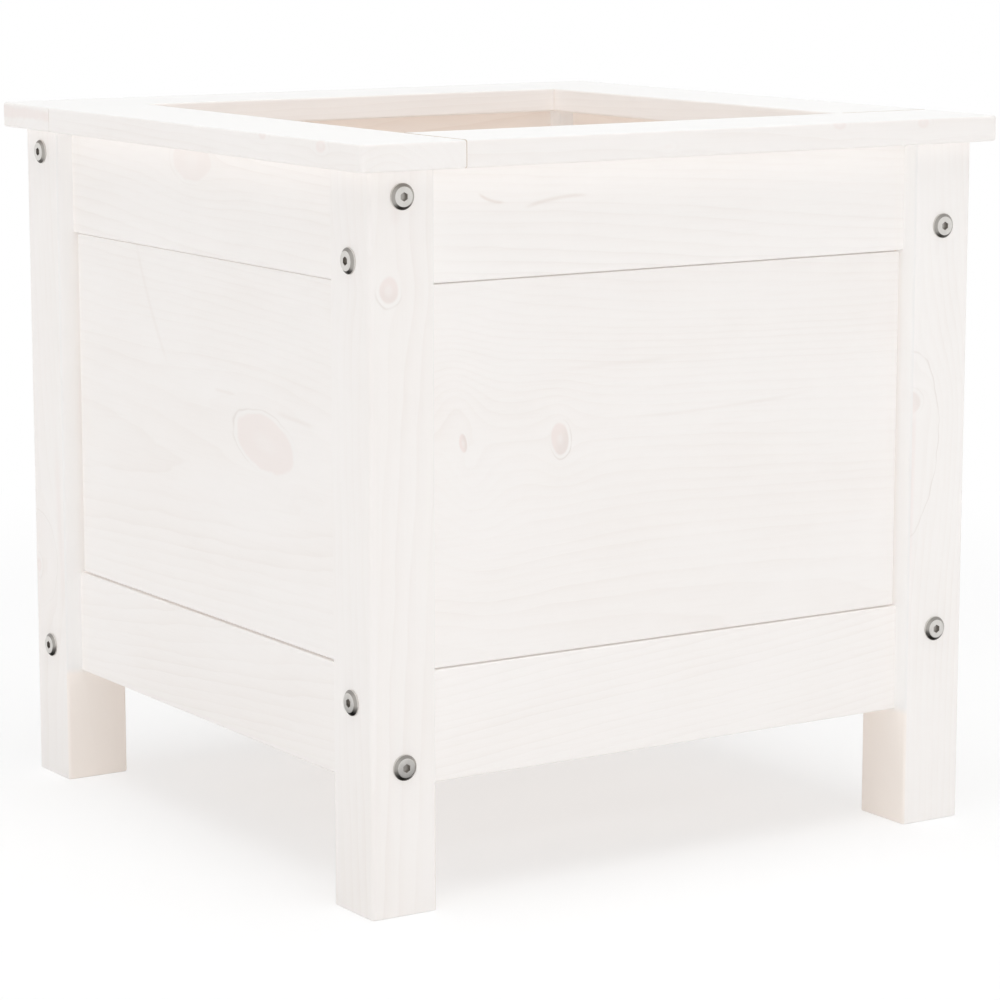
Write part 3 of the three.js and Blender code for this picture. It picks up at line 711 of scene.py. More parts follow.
def washed_pine(name, grain, look, coat):
    """White-washed pine: a thin white paint that lets rings, fibres and knots show."""
    pine = bpy.context.scene.planter_pine
    shader = Shader(name)
    wood = Wood(shader, grain, look)
    rings = wood.rings()
    fibres = wood.noise(stretch=26.0, fineness=0.9, detail=3.0)
    thin = wood.noise(stretch=2.5, fineness=0.022, detail=3.0).rise(0.35, 0.7)
    tone = shader.mix(thin, pine.wash, pine.warm_wash)
    if look.pale:
        tone = shader.mix(thin.between(*PALE_SHOWS) * look.pale, tone, pine.pale_wash)
    grain_depth = rings * pine.ring_depth * thin.between(*RINGS_SHOW)
    tone = shader.mix(grain_depth, tone, pine.ring)
    fibre_tone = fibres.between(-pine.fibre_depth, pine.fibre_depth)
    tone = shader.mix(fibre_tone, tone, pine.ring)
    relief = rings * RING_RELIEF + fibres * FIBRE_RELIEF
    for streak in look.streaks:
        mark = wood.streak(streak)
        tone = shader.mix(mark, tone, pine.core if streak.red else pine.ring)
    for knot in look.knots:
        core, grey, bark, pale = wood.knot_marks(knot)
        heart = shader.mix(grey, pine.core, pine.bark)
        tone = shader.mix(core * CORE_MARK, tone, heart)
        tone = shader.mix(bark * BARK_MARK, tone, pine.bark)
        tone = shader.mix(pale * PALE_MARK, tone, pine.wash)
        relief = relief + core * CORE_RELIEF - bark * BARK_RELIEF
    if coat.inner:
        inner = wood.through.rise(*INNER_FACE) * coat.inner
        raw = shader.mix(rings.between(*BARE_RINGS), pine.bare, pine.bare_ring)
        tone = shader.mix(inner, tone, raw)
    # Painted shade on the posts' inner sides, which face the corners by the walls, and
    # painted warm bounce light on the legs below them
    if coat.sides:
        sides = wood.across.rise(*RIGHT_OF_POST) + wood.through.rise(*BACK_OF_POST)
        leg = wood.along.rise(*BELOW_THE_WALLS)
        painted_side_tone = shader.mix(leg, pine.painted_side_shade, pine.painted_leg_bounce)
        tone = shader.mix(sides * coat.sides, tone, painted_side_tone)
    # The floor's bare wood is darker than the walls' bare faces: partly its own colour,
    # partly painted shade for the inside of the box, which the shadowless lamps light fully
    if coat.bare:
        raw = shader.mix(rings.between(*FLOOR_RINGS), pine.bare_ring, pine.end_grain)
        cover = fibres.between(coat.bare - BARE_FIBRES, coat.bare + BARE_FIBRES)
        tone = shader.mix(cover, tone, raw)
    # Painted highlight: the rim's upper face whiter and cooler, as lit from above
    if coat.upper:
        upper = wood.through.rise(*UPPER_FACE) * coat.upper
        tone = shader.mix(upper, tone, pine.painted_top_light)
    low, high = pine.roughness - FIBRE_ROUGHNESS, pine.roughness + FIBRE_ROUGHNESS
    roughness = fibres.between(low, high) - rings * RING_ROUGHNESS
    inputs = {"Base Color": tone, "Roughness": roughness}
    return shader.surface(inputs, relief, pine.relief)


def bare_pine():
    """Cut pine without wash, in grooves and bores and on tongues and dowels."""
    pine = bpy.context.scene.planter_pine
    shader = Shader("bare_pine")
    fine = shader.noise(shader.place(), scale=480.0, detail=3.0)
    broad = shader.noise(shader.place(), scale=56.0, detail=2.0)
    tone = shader.mix(broad.rise(0.35, 0.65), pine.bare, pine.bare_ring)
    tone = shader.mix(fine.between(0.0, 0.35), tone, pine.bare)
    inputs = {"Base Color": tone, "Roughness": fine.between(0.7, 0.85)}
    return shader.surface(inputs, fine, pine.relief)


def end_grain():
    """Sawn end grain, dark in the narrow joints of the rim."""
    pine = bpy.context.scene.planter_pine
    shader = Shader("end_grain")
    pores = shader.noise(shader.place(), scale=1200.0, detail=2.0)
    tone = shader.mix(pores.between(0.0, 0.4), pine.end_grain, pine.bare_ring)
    inputs = {"Base Color": tone, "Roughness": pores.between(0.8, 0.9)}
    return shader.surface(inputs, pores, pine.relief)


# ---------------------------------------------------------------- meshes


BAR_STEPS = 32  # faces round a bore or a dowel
SMALL_BAR_STEPS = 24
END_SEGMENTS = 2  # faces round an eased end
BOARD_CREASE, STEEL_CREASE = 35, 30  # degrees from which an edge stays sharp


def new_object(name, mesh):
    made = bpy.data.objects.new(name, mesh)
    bpy.context.scene.collection.objects.link(made)
    return made


def mesh_of(name, bm):
    mesh = bpy.data.meshes.new(name)
    bm.to_mesh(mesh)
    bm.free()
    return mesh


def ease(bm, edges, radius, segments):
    """Rounds edges over."""
    bmesh.ops.bevel(
        bm, geom=edges, offset=radius, offset_type="OFFSET", segments=segments,
        profile=0.5, affect="EDGES", material=-1, clamp_overlap=True,
    )


def edges_of(bm, faces):
    """The edges of some faces, in the mesh's own order."""
    picked = {edge for face in faces for edge in face.edges}
    return [edge for edge in bm.edges if edge in picked]


def lies_along(edge, axis):
    way = (edge.verts[1].co - edge.verts[0].co).normalized()
    return abs(way.dot(axis)) > SAME_WAY


def add_box(bm, low, high):
    """A closed box between two corners; gives its vertices."""
    size = high - low
    matrix = Matrix.Translation((low + high) / 2) @ Matrix.Diagonal((*size, 1.0))
    return bmesh.ops.create_cube(bm, size=1.0, matrix=matrix)["verts"]


def add_bar(bm, diameter, start, end, steps=BAR_STEPS):
    """A closed round bar between two points."""
    way = end - start
    turn = way.to_track_quat("Z", "Y").to_matrix().to_4x4()
    bmesh.ops.create_cone(
        bm, cap_ends=True, cap_tris=False, segments=steps, radius1=diameter / 2,
        radius2=diameter / 2, depth=way.length,
        matrix=Matrix.Translation((start + end) / 2) @ turn,
    )


def add_turned(bm, profile, place, axis, steps, shaded=(0, 0)):
    """A closed turned shape. The profile is a list of (radius, distance along the axis).

    Faces between the two shaded distances get the second material, the zinc with painted
    shade. Each vertex keeps its distance from the axis for the turning marks, and how far
    round the lower side it lies for the painted shade there.
    """
    turn = axis.to_track_quat("Z", "Y").to_matrix().to_4x4()
    made = bmesh.new()
    radius, height = profile[0]
    last = bmesh.ops.create_vert(made, co=(radius, 0, height))["vert"][0]
    for radius, height in profile[1:]:
        grown = bmesh.ops.extrude_vert_indiv(made, verts=[last])["verts"][0]
        grown.co = (radius, 0, height)
        last = grown
    bmesh.ops.spin(
        made, geom=made.verts[:] + made.edges[:], cent=(0, 0, 0), axis=(0, 0, 1),
        angle=FULL_TURN, steps=steps, use_merge=True,
    )
    bmesh.ops.remove_doubles(made, verts=made.verts, dist=WELD)
    bmesh.ops.recalc_face_normals(made, faces=made.faces)
    for face in made.faces:
        if shaded[0] < face.calc_center_median().z < shaded[1]:
            face.material_index = 1
    from_axis = made.verts.layers.float.new(FROM_AXIS)
    below_axis = made.verts.layers.float.new(BELOW_AXIS)
    for vert in made.verts:
        vert[from_axis] = vert.co.to_2d().length
    bmesh.ops.transform(made, matrix=Matrix.Translation(place) @ turn, verts=made.verts)
    for vert in made.verts:
        if vert[from_axis]:
            vert[below_axis] = (place.z - vert.co.z) / vert[from_axis]
    mesh = mesh_of("turned", made)
    bm.from_mesh(mesh)
    bpy.data.meshes.remove(mesh)


def planed(low, high, grain, long_edge, end_edge, segments):
    """A planed board: a box with its long edges rounded over and its ends eased."""
    bm = bmesh.new()
    add_box(bm, low, high)
    ease(bm, [e for e in bm.edges if lies_along(e, grain)], long_edge, segments)
    if end_edge:
        ends = [f for f in bm.faces if abs(f.normal.dot(grain)) > SAME_WAY]
        ease(bm, edges_of(bm, ends), end_edge, END_SEGMENTS)
        bmesh.ops.remove_doubles(bm, verts=bm.verts, dist=WELD)
    return bm


def combine(target, tool_bm, operation, material):
    """Joins a shape to an object or cuts it out; its faces get the given material."""
    tool = new_object("tool", mesh_of("tool", tool_bm))
    tool.data.materials.append(material)
    modifier = target.modifiers.new(operation, "BOOLEAN")
    modifier.operation = operation
    modifier.solver = "EXACT"
    modifier.material_mode = "TRANSFER"
    modifier.use_self = True  # the bars and boxes of a tool may cross each other
    modifier.object = tool
    depsgraph = bpy.context.evaluated_depsgraph_get()
    mesh = bpy.data.meshes.new_from_object(target.evaluated_get(depsgraph))
    joined = bmesh.new()
    joined.from_mesh(mesh)
    bmesh.ops.remove_doubles(joined, verts=joined.verts, dist=WELD)
    joined.to_mesh(mesh)
    joined.free()
    target.modifiers.clear()
    old = target.data
    target.data = mesh
    bpy.data.meshes.remove(old)
    bpy.data.objects.remove(tool)


def smooth(target, crease):
    """Shades round what is rounded over and flat what is flat."""
    for polygon in target.data.polygons:
        polygon.use_smooth = True
    target.data.set_sharp_from_angle(angle=math.radians(crease))
    weighted = target.modifiers.new("Flat faces", "WEIGHTED_NORMAL")
    weighted.keep_sharp = True


def board(
    name, bm, quarter_turns, grain, size, coat, cuts=None, joined=None
):
    """A finished board that stands for the CAD node of the same name."""
    look = LOOKS.get(name) or seeded_look(name, size)
    wood = washed_pine(f"pine_{name}", grain.turned(quarter_turns), look, coat)
    bare = bpy.data.materials.get("bare_pine") or bare_pine()
    made = new_object(f"{name}_wood", mesh_of(name, bm))
    made.data.materials.append(wood)
    if any(polygon.material_index for polygon in made.data.polygons):
        made.data.materials.append(bpy.data.materials.get("end_grain") or end_grain())
    if joined:
        combine(made, joined, "UNION", bare)
    if cuts:
        combine(made, cuts, "DIFFERENCE", bare)
    made.data.transform(Matrix.Rotation(quarter_turns * QUARTER_TURN, 4, "Z"))
    smooth(made, BOARD_CREASE)
    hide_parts(name)
    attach(made, BODY)
    return made


def all_round(kind, names, shape, grain, size, coat):
    """Makes one board for each side or corner, a quarter turn on from the one before.

    The shape takes the side's name and gives the board's mesh, its cuts and what joins it.
    """
    for turn, name in enumerate(names):
        bm, cuts, joined = shape(name)
        board(f"{kind}_{name}", bm, turn, grain, size, coat, cuts, joined)


def bolt_heights():
    """Heights of the outer and of the inner bolts, top and bottom."""
    edge = bpy.context.scene.planter_boards.bolt_edge
    outer = (POST_TOP - edge, RAIL_LOW.z + edge)
    inner = (TOP_RAIL_LOW.z + edge, RAIL_HIGH.z - edge)
    return outer, inner


# ---------------------------------------------------------------- boards


PAST_POST = 0.03  # from a post's axis to well outside it
PAST_RAIL = 0.01  # how far a groove's cutter runs past a rail's ends
PAST_FACE = 0.005  # how far other cutters start outside their board
NUT_HOLE_REACH = 0.02  # from a barrel nut's outer end past the rail's inner face
DOWEL_ROOT = 0.005  # length of a dowel inside the board that carries it
RAIL_DOWEL_ROOT = 0.01
CORNER_SEGMENTS = 8


def post_shape(_post):
    """A post, what is cut out of it and its rim dowels."""
    boards, steel = bpy.context.scene.planter_boards, bpy.context.scene.planter_steel
    low = Vector((-BODY_HALF, -BODY_HALF, 0))
    high = Vector((-POST_INNER, -POST_INNER, POST_TOP))
    bm = planed(low, high, Z, boards.post_corner, boards.end_edge, boards.segments)
    middle = (low + high) / 2
    bore = steel.bolt + 2 * steel.bolt_play
    dowel = boards.dowel + 2 * boards.dowel_play
    outer, inner = bolt_heights()
    cuts = bmesh.new()
    for z in (*outer, *inner):
        through = Y if z in outer else X
        blind = X if z in outer else Y
        at = Vector((middle.x, middle.y, z))
        add_bar(cuts, bore, at - through * PAST_POST, at + through * PAST_POST)
        bottom = POST_AXIS - POST_INNER - boards.dowel_reach
        add_bar(cuts, dowel, at + blind * bottom, at + blind * PAST_POST)
    reach = boards.groove_in_rail
    width = boards.tongue / 2 + boards.groove_play
    depth = POST_AXIS - POST_INNER - boards.groove_in_post
    bottom, top = RAIL_HIGH.z - reach, TOP_RAIL_LOW.z + reach
    for way, side in ((X, Y), (Y, X)):
        corner = Vector((middle.x, middle.y, 0))
        start = corner + way * depth - side * width + Z * bottom
        end = corner + way * PAST_POST + side * width + Z * top
        add_box(cuts, start, end)
    dowels = bmesh.new()
    for spread in (-boards.post_dowel_spread, boards.post_dowel_spread):
        at = Vector((middle.x + spread, middle.y + spread, POST_TOP))
        top = at + Z * boards.rim_dowel_reach
        add_bar(dowels, boards.dowel, at - Z * DOWEL_ROOT, top)
    return bm, cuts, dowels


def rail_shape(level, up):
    """A rail, its bores, nut holes and groove, and its dowels. Up is 1 or -1."""
    boards, steel = bpy.context.scene.planter_boards, bpy.context.scene.planter_steel
    lower, upper = RAIL_HEIGHTS[level]
    low = Vector((-POST_INNER, RAIL_LOW.y, lower))
    high = Vector((POST_INNER, RAIL_HIGH.y, upper))
    bm = planed(low, high, X, boards.board_edge, 0, boards.segments)
    y = -POST_AXIS
    z_middle = (low.z + high.z) / 2
    offset = (high.z - low.z) / 2 - boards.bolt_edge
    cuts, dowels = bmesh.new(), bmesh.new()
    edge = low.z if up > 0 else high.z
    width = boards.tongue / 2 + boards.groove_play
    depth = boards.groove_in_rail
    start = Vector((-POST_INNER - PAST_RAIL, y - width, edge - depth))
    end = Vector((POST_INNER + PAST_RAIL, y + width, edge + depth))
    add_box(cuts, start, end)
    nut_x = POST_INNER - boards.nut_distance
    tip = BODY_HALF - steel.bolt_length
    for side in (-1, 1):
        z = z_middle + side * up * offset
        bore = steel.bolt + 2 * steel.bolt_play
        inner = Vector((side * (tip - MM), y, z))
        add_bar(cuts, bore, inner, Vector((side * (POST_INNER + MM), y, z)))
        nut = steel.nut + 2 * steel.bolt_play
        at = Vector((side * nut_x, y - steel.nut_length / 2, z))
        add_bar(cuts, nut, at, at + Y * NUT_HOLE_REACH)
        z = z_middle - side * up * offset
        start = Vector((side * (POST_INNER - RAIL_DOWEL_ROOT), y, z))
        end = Vector((side * (POST_INNER + boards.dowel_reach), y, z))
        add_bar(dowels, boards.dowel, start, end)
    if up > 0:
        for x in (-boards.rail_dowel_spread, boards.rail_dowel_spread):
            at = Vector((x, y, POST_TOP))
            top = at + Z * boards.rim_dowel_reach
            add_bar(dowels, boards.dowel, at - Z * DOWEL_ROOT, top)
    return bm, cuts, dowels


def top_rail_shape(_side):
    return rail_shape("top", 1)


def bottom_rail_shape(_side):
    return rail_shape("bottom", -1)


def panel_shape(side):
    """A panel, no cuts and the tongue that runs round it; the left one lies higher."""
    boards = bpy.context.scene.planter_boards
    lift = boards.panel_lift if side == "left" else 0.0
    half = POST_INNER - boards.panel_end_gap
    low = Vector((-half, PANEL_LOW.y, RAIL_HIGH.z + boards.panel_bottom_gap))
    high = Vector((half, PANEL_HIGH.y, TOP_RAIL_LOW.z - boards.panel_top_gap))
    shift = X * boards.panel_shift + Z * lift
    edge = boards.board_edge
    bm = planed(low + shift, high + shift, X, edge, edge, boards.segments)
    tongue = bmesh.new()
    add_box(
        tongue,
        Vector((PANEL_LOW.x, -POST_AXIS - boards.tongue / 2, PANEL_LOW.z)) + shift,
        Vector((PANEL_HIGH.x, -POST_AXIS + boards.tongue / 2, PANEL_HIGH.z)) + shift,
    )
    return bm, None, tongue


def rim_shape(_side):
    """A rim board, its holes and its dowels.

    One end butts on the board before it, and the other end is the rim's corner.
    """
    boards = bpy.context.scene.planter_boards
    low = Vector((-OPENING_HALF + boards.rim_joint, -RIM_HALF, RIM_LOW.z))
    high = Vector((RIM_HALF, -OPENING_HALF, RIM_HIGH.z))
    bm = bmesh.new()
    add_box(bm, low, high)
    corner = [
        e for e in bm.edges
        if lies_along(e, Z) and e.verts[0].co.x > 0 and e.verts[0].co.y < -RIM_HALF + MM
    ]
    ease(bm, corner, boards.rim_corner, CORNER_SEGMENTS)
    butt = edges_of(bm, [f for f in bm.faces if f.normal.x < -SAME_WAY])
    flat = edges_of(bm, [f for f in bm.faces if abs(f.normal.z) > SAME_WAY])
    around = [e for e in flat if e not in butt]
    ease(bm, around, boards.rim_edge, boards.segments)
    for face in bm.faces:
        if face.normal.x < -SAME_WAY:
            face.material_index = 1
    cuts, dowels = bmesh.new(), bmesh.new()
    z = (RIM_LOW.z + RIM_HIGH.z) / 2
    middle = (RIM_HALF + OPENING_HALF) / 2
    reach = boards.dowel_reach
    for spread in (-boards.butt_dowel_spread, boards.butt_dowel_spread):
        at = Vector((-OPENING_HALF, -middle + spread, z))
        end = at - X * reach
        add_bar(dowels, boards.butt_dowel, at + X * DOWEL_ROOT, end, SMALL_BAR_STEPS)
        hole = boards.butt_dowel + 2 * boards.dowel_play
        at = Vector((middle + spread, -OPENING_HALF, z))
        bottom = at - Y * (reach + MM / 2)
        add_bar(cuts, hole, bottom, at + Y * PAST_FACE, SMALL_BAR_STEPS)
    hole = boards.dowel + 2 * boards.dowel_play
    spread = boards.post_dowel_spread
    places = (
        (-boards.rail_dowel_spread, -POST_AXIS),
        (boards.rail_dowel_spread, -POST_AXIS),
        (POST_AXIS - spread, -POST_AXIS + spread),
        (POST_AXIS + spread, -POST_AXIS - spread),
    )
    for x, y in places:
        at = Vector((x, y, RIM_LOW.z))
        top = at + Z * (boards.rim_dowel_reach + MM / 2)
        add_bar(cuts, hole, at - Z * PAST_FACE, top)
    return bm, cuts, dowels


class PLANTER_OT_posts(bpy.types.Operator):
    """Makes the four corner posts, which are also the legs"""

    bl_idname = "planter.posts"
    bl_label = "Posts"

    def execute(self, context):
        grain = Grain(Vector((-POST_AXIS, -POST_AXIS, POST_TOP / 2)), Z, X, -Y)
        size = POST_HIGH - POST_LOW
        all_round("post", POSTS, post_shape, grain, size, Coat(sides=0.9))
        return {"FINISHED"}


class PLANTER_OT_rails(bpy.types.Operator):
    """Makes the top and the bottom rail of each wall"""

    bl_idname = "planter.rails"
    bl_label = "Rails"

    def execute(self, context):
        size = RAIL_HIGH - RAIL_LOW
        for level, shape in zip(LEVELS, (top_rail_shape, bottom_rail_shape)):
            low, high = RAIL_HEIGHTS[level]
            grain = Grain(Vector((0, -POST_AXIS, (low + high) / 2)), X, Z, -Y)
            all_round(f"rail_{level}", SIDES, shape, grain, size, Coat(inner=0.4))
        return {"FINISHED"}


class PLANTER_OT_panels(bpy.types.Operator):
    """Makes the panel of each wall, with its tongue"""

    bl_idname = "planter.panels"
    bl_label = "Panels"

    def execute(self, context):
        z = (RAIL_HIGH.z + TOP_RAIL_LOW.z) / 2
        grain = Grain(Vector((0, -POST_AXIS, z)), X, Z, -Y)
        size = PANEL_HIGH - PANEL_LOW
        all_round("panel", SIDES, panel_shape, grain, size, Coat(inner=1.0))
        return {"FINISHED"}


class PLANTER_OT_rim(bpy.types.Operator):
    """Makes the four rim boards, each butted on the side of the one before"""

    bl_idname = "planter.rim"
    bl_label = "Rim"

    def execute(self, context):
        x = (RIM_HALF - OPENING_HALF) / 2
        y = -(RIM_HALF + OPENING_HALF) / 2
        grain = Grain(Vector((x, y, (RIM_LOW.z + RIM_HIGH.z) / 2)), X, Y, Z)
        size = RIM_HIGH - RIM_LOW
        all_round("rim_board", SIDES, rim_shape, grain, size, Coat(upper=0.85))
        return {"FINISHED"}


# ---------------------------------------------------------------- floor


def slat_middle(index):
    """A slat's middle line across the box, for an index from 0."""
    low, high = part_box(f"floor_slat_{index + 1}")
    return (low.y + high.y) / 2


def slat_shape(boards, steel, y):
    """A slat and what is cut out of it: two countersunk holes and room for the posts."""
    half = (SLAT_HIGH - SLAT_LOW) / 2
    low = Vector((-half.x, y - half.y, SLAT_LOW.z))
    high = Vector((half.x, y + half.y, SLAT_HIGH.z))
    bm = planed(low, high, X, boards.board_edge, boards.saw_edge, boards.segments)
    cuts = bmesh.new()
    for side in (-1, 1):
        place = Vector((side * CLEAT_AXIS, y, SLAT_LOW.z))
        profile = countersunk(steel, -MM, half.z * 4, steel.bolt_play)
        add_turned(cuts, profile, place, Z, steel.steps)
    room = Vector((1, 1, 0)) * (CAVITY_HALF - half.x)
    for x in (-POST_AXIS, POST_AXIS):
        for post_y in (-POST_AXIS, POST_AXIS):
            middle = Vector((x, post_y, SLAT_LOW.z))
            reach = Vector((1, 1, 0)) * (BODY_HALF - POST_AXIS) + room
            if abs(post_y - y) < reach.y + half.y:
                add_box(cuts, middle - reach - Z * MM, middle + reach + Z * (3 * half.z))
    return bm, cuts


def countersunk(steel, start, end, room):
    """The profile of a countersunk screw up to its end, or of a hole with room for one."""
    head = steel.screw_head / 2 + room
    shank = steel.screw / 2 + room
    edge = SLAT_HIGH.z - SLAT_LOW.z - steel.screw_sink - steel.screw_rim
    return [
        (0, start), (shank, start), (shank, edge - head + shank), (head, edge), (head, end),
        (0, end),
    ]


class PLANTER_OT_floor(bpy.types.Operator):
    """Makes the cleats and the slats of the floor"""

    bl_idname = "planter.floor"
    bl_label = "Floor"

    def execute(self, context):
        boards = context.scene.planter_boards
        steel = context.scene.planter_steel
        for index in range(SLATS):
            name = f"floor_slat_{index + 1}"
            y = slat_middle(index)
            grain = Grain(Vector((0, y, (SLAT_LOW.z + SLAT_HIGH.z) / 2)), X, Y, Z)
            bm, cuts = slat_shape(boards, steel, y)
            size = SLAT_HIGH - SLAT_LOW
            board(name, bm, 0, grain, size, Coat(bare=0.9), cuts)
        half = CLEAT_SECTION / 2
        middle = Vector((0, -CLEAT_AXIS, SLAT_LOW.z - half))
        grain = Grain(middle, X, Z, -Y)
        reach = Vector((CLEAT_LENGTH / 2, half, half))
        for side in CLEAT_SIDES:
            name = f"floor_cleat_{side}"
            bm = planed(
                middle - reach, middle + reach, X, boards.board_edge, boards.saw_edge,
                boards.segments,
            )
            turn = SIDES.index(side)
            board(name, bm, turn, grain, 2 * reach, Coat(bare=0.9))
        return {"FINISHED"}


# ---------------------------------------------------------------- steel


PLATING_RELIEF = 0.006 * MM
CLOUD_TONE = 0.12  # strength of the clouds in the plating
UPPER_SIDE, UPPER_SHADE = (-0.6, -1.0), 0.3  # where a little painted shade lies, and how strong
LOWER_SIDE, LOWER_SHADE = (0.45, 0.95), 0.92  # where most of the painted shade lies
SOFT_EDGE = 0.15 * MM  # how far the edges of a bolt's head are broken
RECESS_ARM = 0.29  # length of a cross recess's arm, of the head's diameter
RECESS_HALF = 0.06  # half of its width, of the head's diameter
# A domed head from its edge to its middle: shares of its radius and of its height
DOME = ((1.0, 0.0), (0.93, 0.45), (0.7, 0.85), (0.4, 1.0), (0.0, 1.0))


def plated(name, tint, roughness, bevel_shade=False):
    """Zinc plating with faint clouds and turning marks. It may carry painted shade and
    reflection, a little at the top of each piece and most towards the bottom.
    """
    steel = bpy.context.scene.planter_steel
    shader = Shader(name)
    cloud = shader.noise(shader.place(), scale=450.0, detail=2.0).rise(0.3, 0.75)
    speck = shader.noise(shader.place(), scale=5400.0, detail=2.0)
    marks = (shader.attribute(FROM_AXIS) / steel.turning_pitch).part().between(-1.0, 1.0)
    marks = marks * marks
    tone = shader.mix(cloud.between(0.0, CLOUD_TONE), tint, steel.shade)
    # Painted shade and reflection: a little darker at the top, much darker at the bottom
    if bevel_shade:
        below = shader.attribute(BELOW_AXIS)
        upper, lower = below.rise(*UPPER_SIDE), below.rise(*LOWER_SIDE)
        tone = shader.mix(upper.between(0.0, UPPER_SHADE), tone, steel.bevel_shade)
        tone = shader.mix(lower.between(0.0, LOWER_SHADE), tone, steel.bevel_shade)
    sheen = speck.between(-0.05, 0.05) + cloud.between(-0.04, 0.04)
    inputs = {"Base Color": tone, "Metallic": 1.0, "Roughness": roughness + sheen}
    relief = speck * 0.3 + cloud * 0.4 + marks * 0.4
    return shader.surface(inputs, relief, PLATING_RELIEF)


def steel_materials():
    """The bright plating, and a darker copy with painted shade for bevels and recesses."""
    steel = bpy.context.scene.planter_steel
    bright = bpy.data.materials.get("bright_zinc")
    if bright is None:
        bright = plated("bright_zinc", steel.zinc, steel.roughness)
        plated("shaded_zinc", steel.shaded, steel.roughness, bevel_shade=True)
    return bright, bpy.data.materials["shaded_zinc"]


def turned_piece(name, bm, cuts, quarter_turns, node=None):
    """A finished steel piece."""
    bright, shaded = steel_materials()
    made = new_object(name, mesh_of(name, bm))
    made.data.materials.append(bright)
    made.data.materials.append(shaded)
    # Cut faces (sockets, slots, bores, recesses) get the shaded zinc: painted shade in the
    # hollows
    if cuts:
        combine(made, cuts, "DIFFERENCE", shaded)
    made.data.transform(Matrix.Rotation(quarter_turns * QUARTER_TURN, 4, "Z"))
    smooth(made, STEEL_CREASE)
    if node:
        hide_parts(node)
    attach(made, BODY)
    return made


def add_hexagon(bm, across_flats, start, end):
    """A hexagonal bar between two points."""
    radius = across_flats / math.sqrt(3)
    add_bar(bm, 2 * radius, start, end, 6)


def bolt_shape(steel, x, z):
    """A bolt that runs along +Y from the front face of a post, and its socket."""
    bm, cuts = bmesh.new(), bmesh.new()
    head, face, shank = steel.head / 2, steel.head_face / 2, steel.bolt / 2
    tip, soft = steel.bolt_tip, SOFT_EDGE
    profile = [
        (0, -steel.head_height),
        (face - soft, -steel.head_height),
        (face + soft, -steel.head_height + soft),
        (head - soft, -steel.head_rim - soft),
        (head, -steel.head_rim + soft),
        (head, 0),
        (shank, 0),
        (shank, steel.bolt_length - tip),
        (shank - tip, steel.bolt_length),
        (0, steel.bolt_length),
    ]
    place = Vector((x, -BODY_HALF, z))
    # The head's bevel gets the shaded zinc: painted shade and reflection on it
    bevel = (-steel.head_height + soft, -steel.head_rim)
    add_turned(bm, profile, place, Y, steel.steps, bevel)
    outside = place - Y * (steel.head_height + MM)
    bottom = place - Y * (steel.head_height - steel.socket_depth)
    add_hexagon(cuts, steel.socket, outside, bottom)
    return bm, cuts


def nut_shape(steel, x, z):
    """A barrel nut across a rail, with a slot in its inner end and the bolt's hole."""
    bm, cuts = bmesh.new(), bmesh.new()
    radius, half, tip = steel.nut / 2, steel.nut_length / 2, steel.nut_edge
    profile = [
        (0, -half), (radius - tip, -half), (radius, -half + tip), (radius, half - tip),
        (radius - tip, half), (0, half),
    ]
    place = Vector((x, -POST_AXIS, z))
    add_turned(bm, profile, place, Y, steel.steps)
    hole = steel.bolt + 2 * steel.bolt_play
    add_bar(cuts, hole, place - X * steel.nut, place + X * steel.nut)
    slot = Vector((steel.nut, steel.nut_slot_depth, steel.nut_slot / 2))
    add_box(cuts, place + Y * half - slot, place + Y * half + slot)
    return bm, cuts


def screw_shape(steel, place, axis, profile, top):
    """A screw and the cross recess in its head."""
    bm, cuts = bmesh.new(), bmesh.new()
    add_turned(bm, profile, place, axis, steel.steps)
    side = axis.cross(X).normalized()
    depth = axis * steel.screw_recess
    for along, across in ((X, side), (side, X)):
        arm = (along * RECESS_ARM + across * RECESS_HALF) * steel.screw_head
        low = place + axis * top - arm - depth
        high = place + axis * (top + MM) + arm
        add_box(cuts, Vector(map(min, low, high)), Vector(map(max, low, high)))
    return bm, cuts


def both_ends(x, left, right):
    """What each bolt or barrel nut has: a name, quarter turns, x and a height."""
    for turn, side in enumerate(SIDES):
        for end, place, heights in (("left", -x, left), ("right", x, right)):
            for level, z in zip(LEVELS, heights):
                yield f"{side}_{end}_{level}", turn, place, z


class PLANTER_OT_bolts(bpy.types.Operator):
    """Makes the bolts, four on each face of the box"""

    bl_idname = "planter.bolts"
    bl_label = "Bolts"

    def execute(self, context):
        outer, inner = bolt_heights()
        for name, turn, x, z in both_ends(POST_AXIS, outer, inner):
            bm, cuts = bolt_shape(context.scene.planter_steel, x, z)
            turned_piece(f"bolt_{name}_steel", bm, cuts, turn, f"bolt_{name}")
        return {"FINISHED"}


class PLANTER_OT_nuts(bpy.types.Operator):
    """Makes the barrel nuts, one for each bolt"""

    bl_idname = "planter.nuts"
    bl_label = "Barrel nuts"

    def execute(self, context):
        distance = POST_INNER - context.scene.planter_boards.nut_distance
        outer, inner = bolt_heights()
        for name, turn, x, z in both_ends(distance, inner, outer):
            bm, cuts = nut_shape(context.scene.planter_steel, x, z)
            turned_piece(f"barrel_nut_{name}_steel", bm, cuts, turn, f"barrel_nut_{name}")
        return {"FINISHED"}


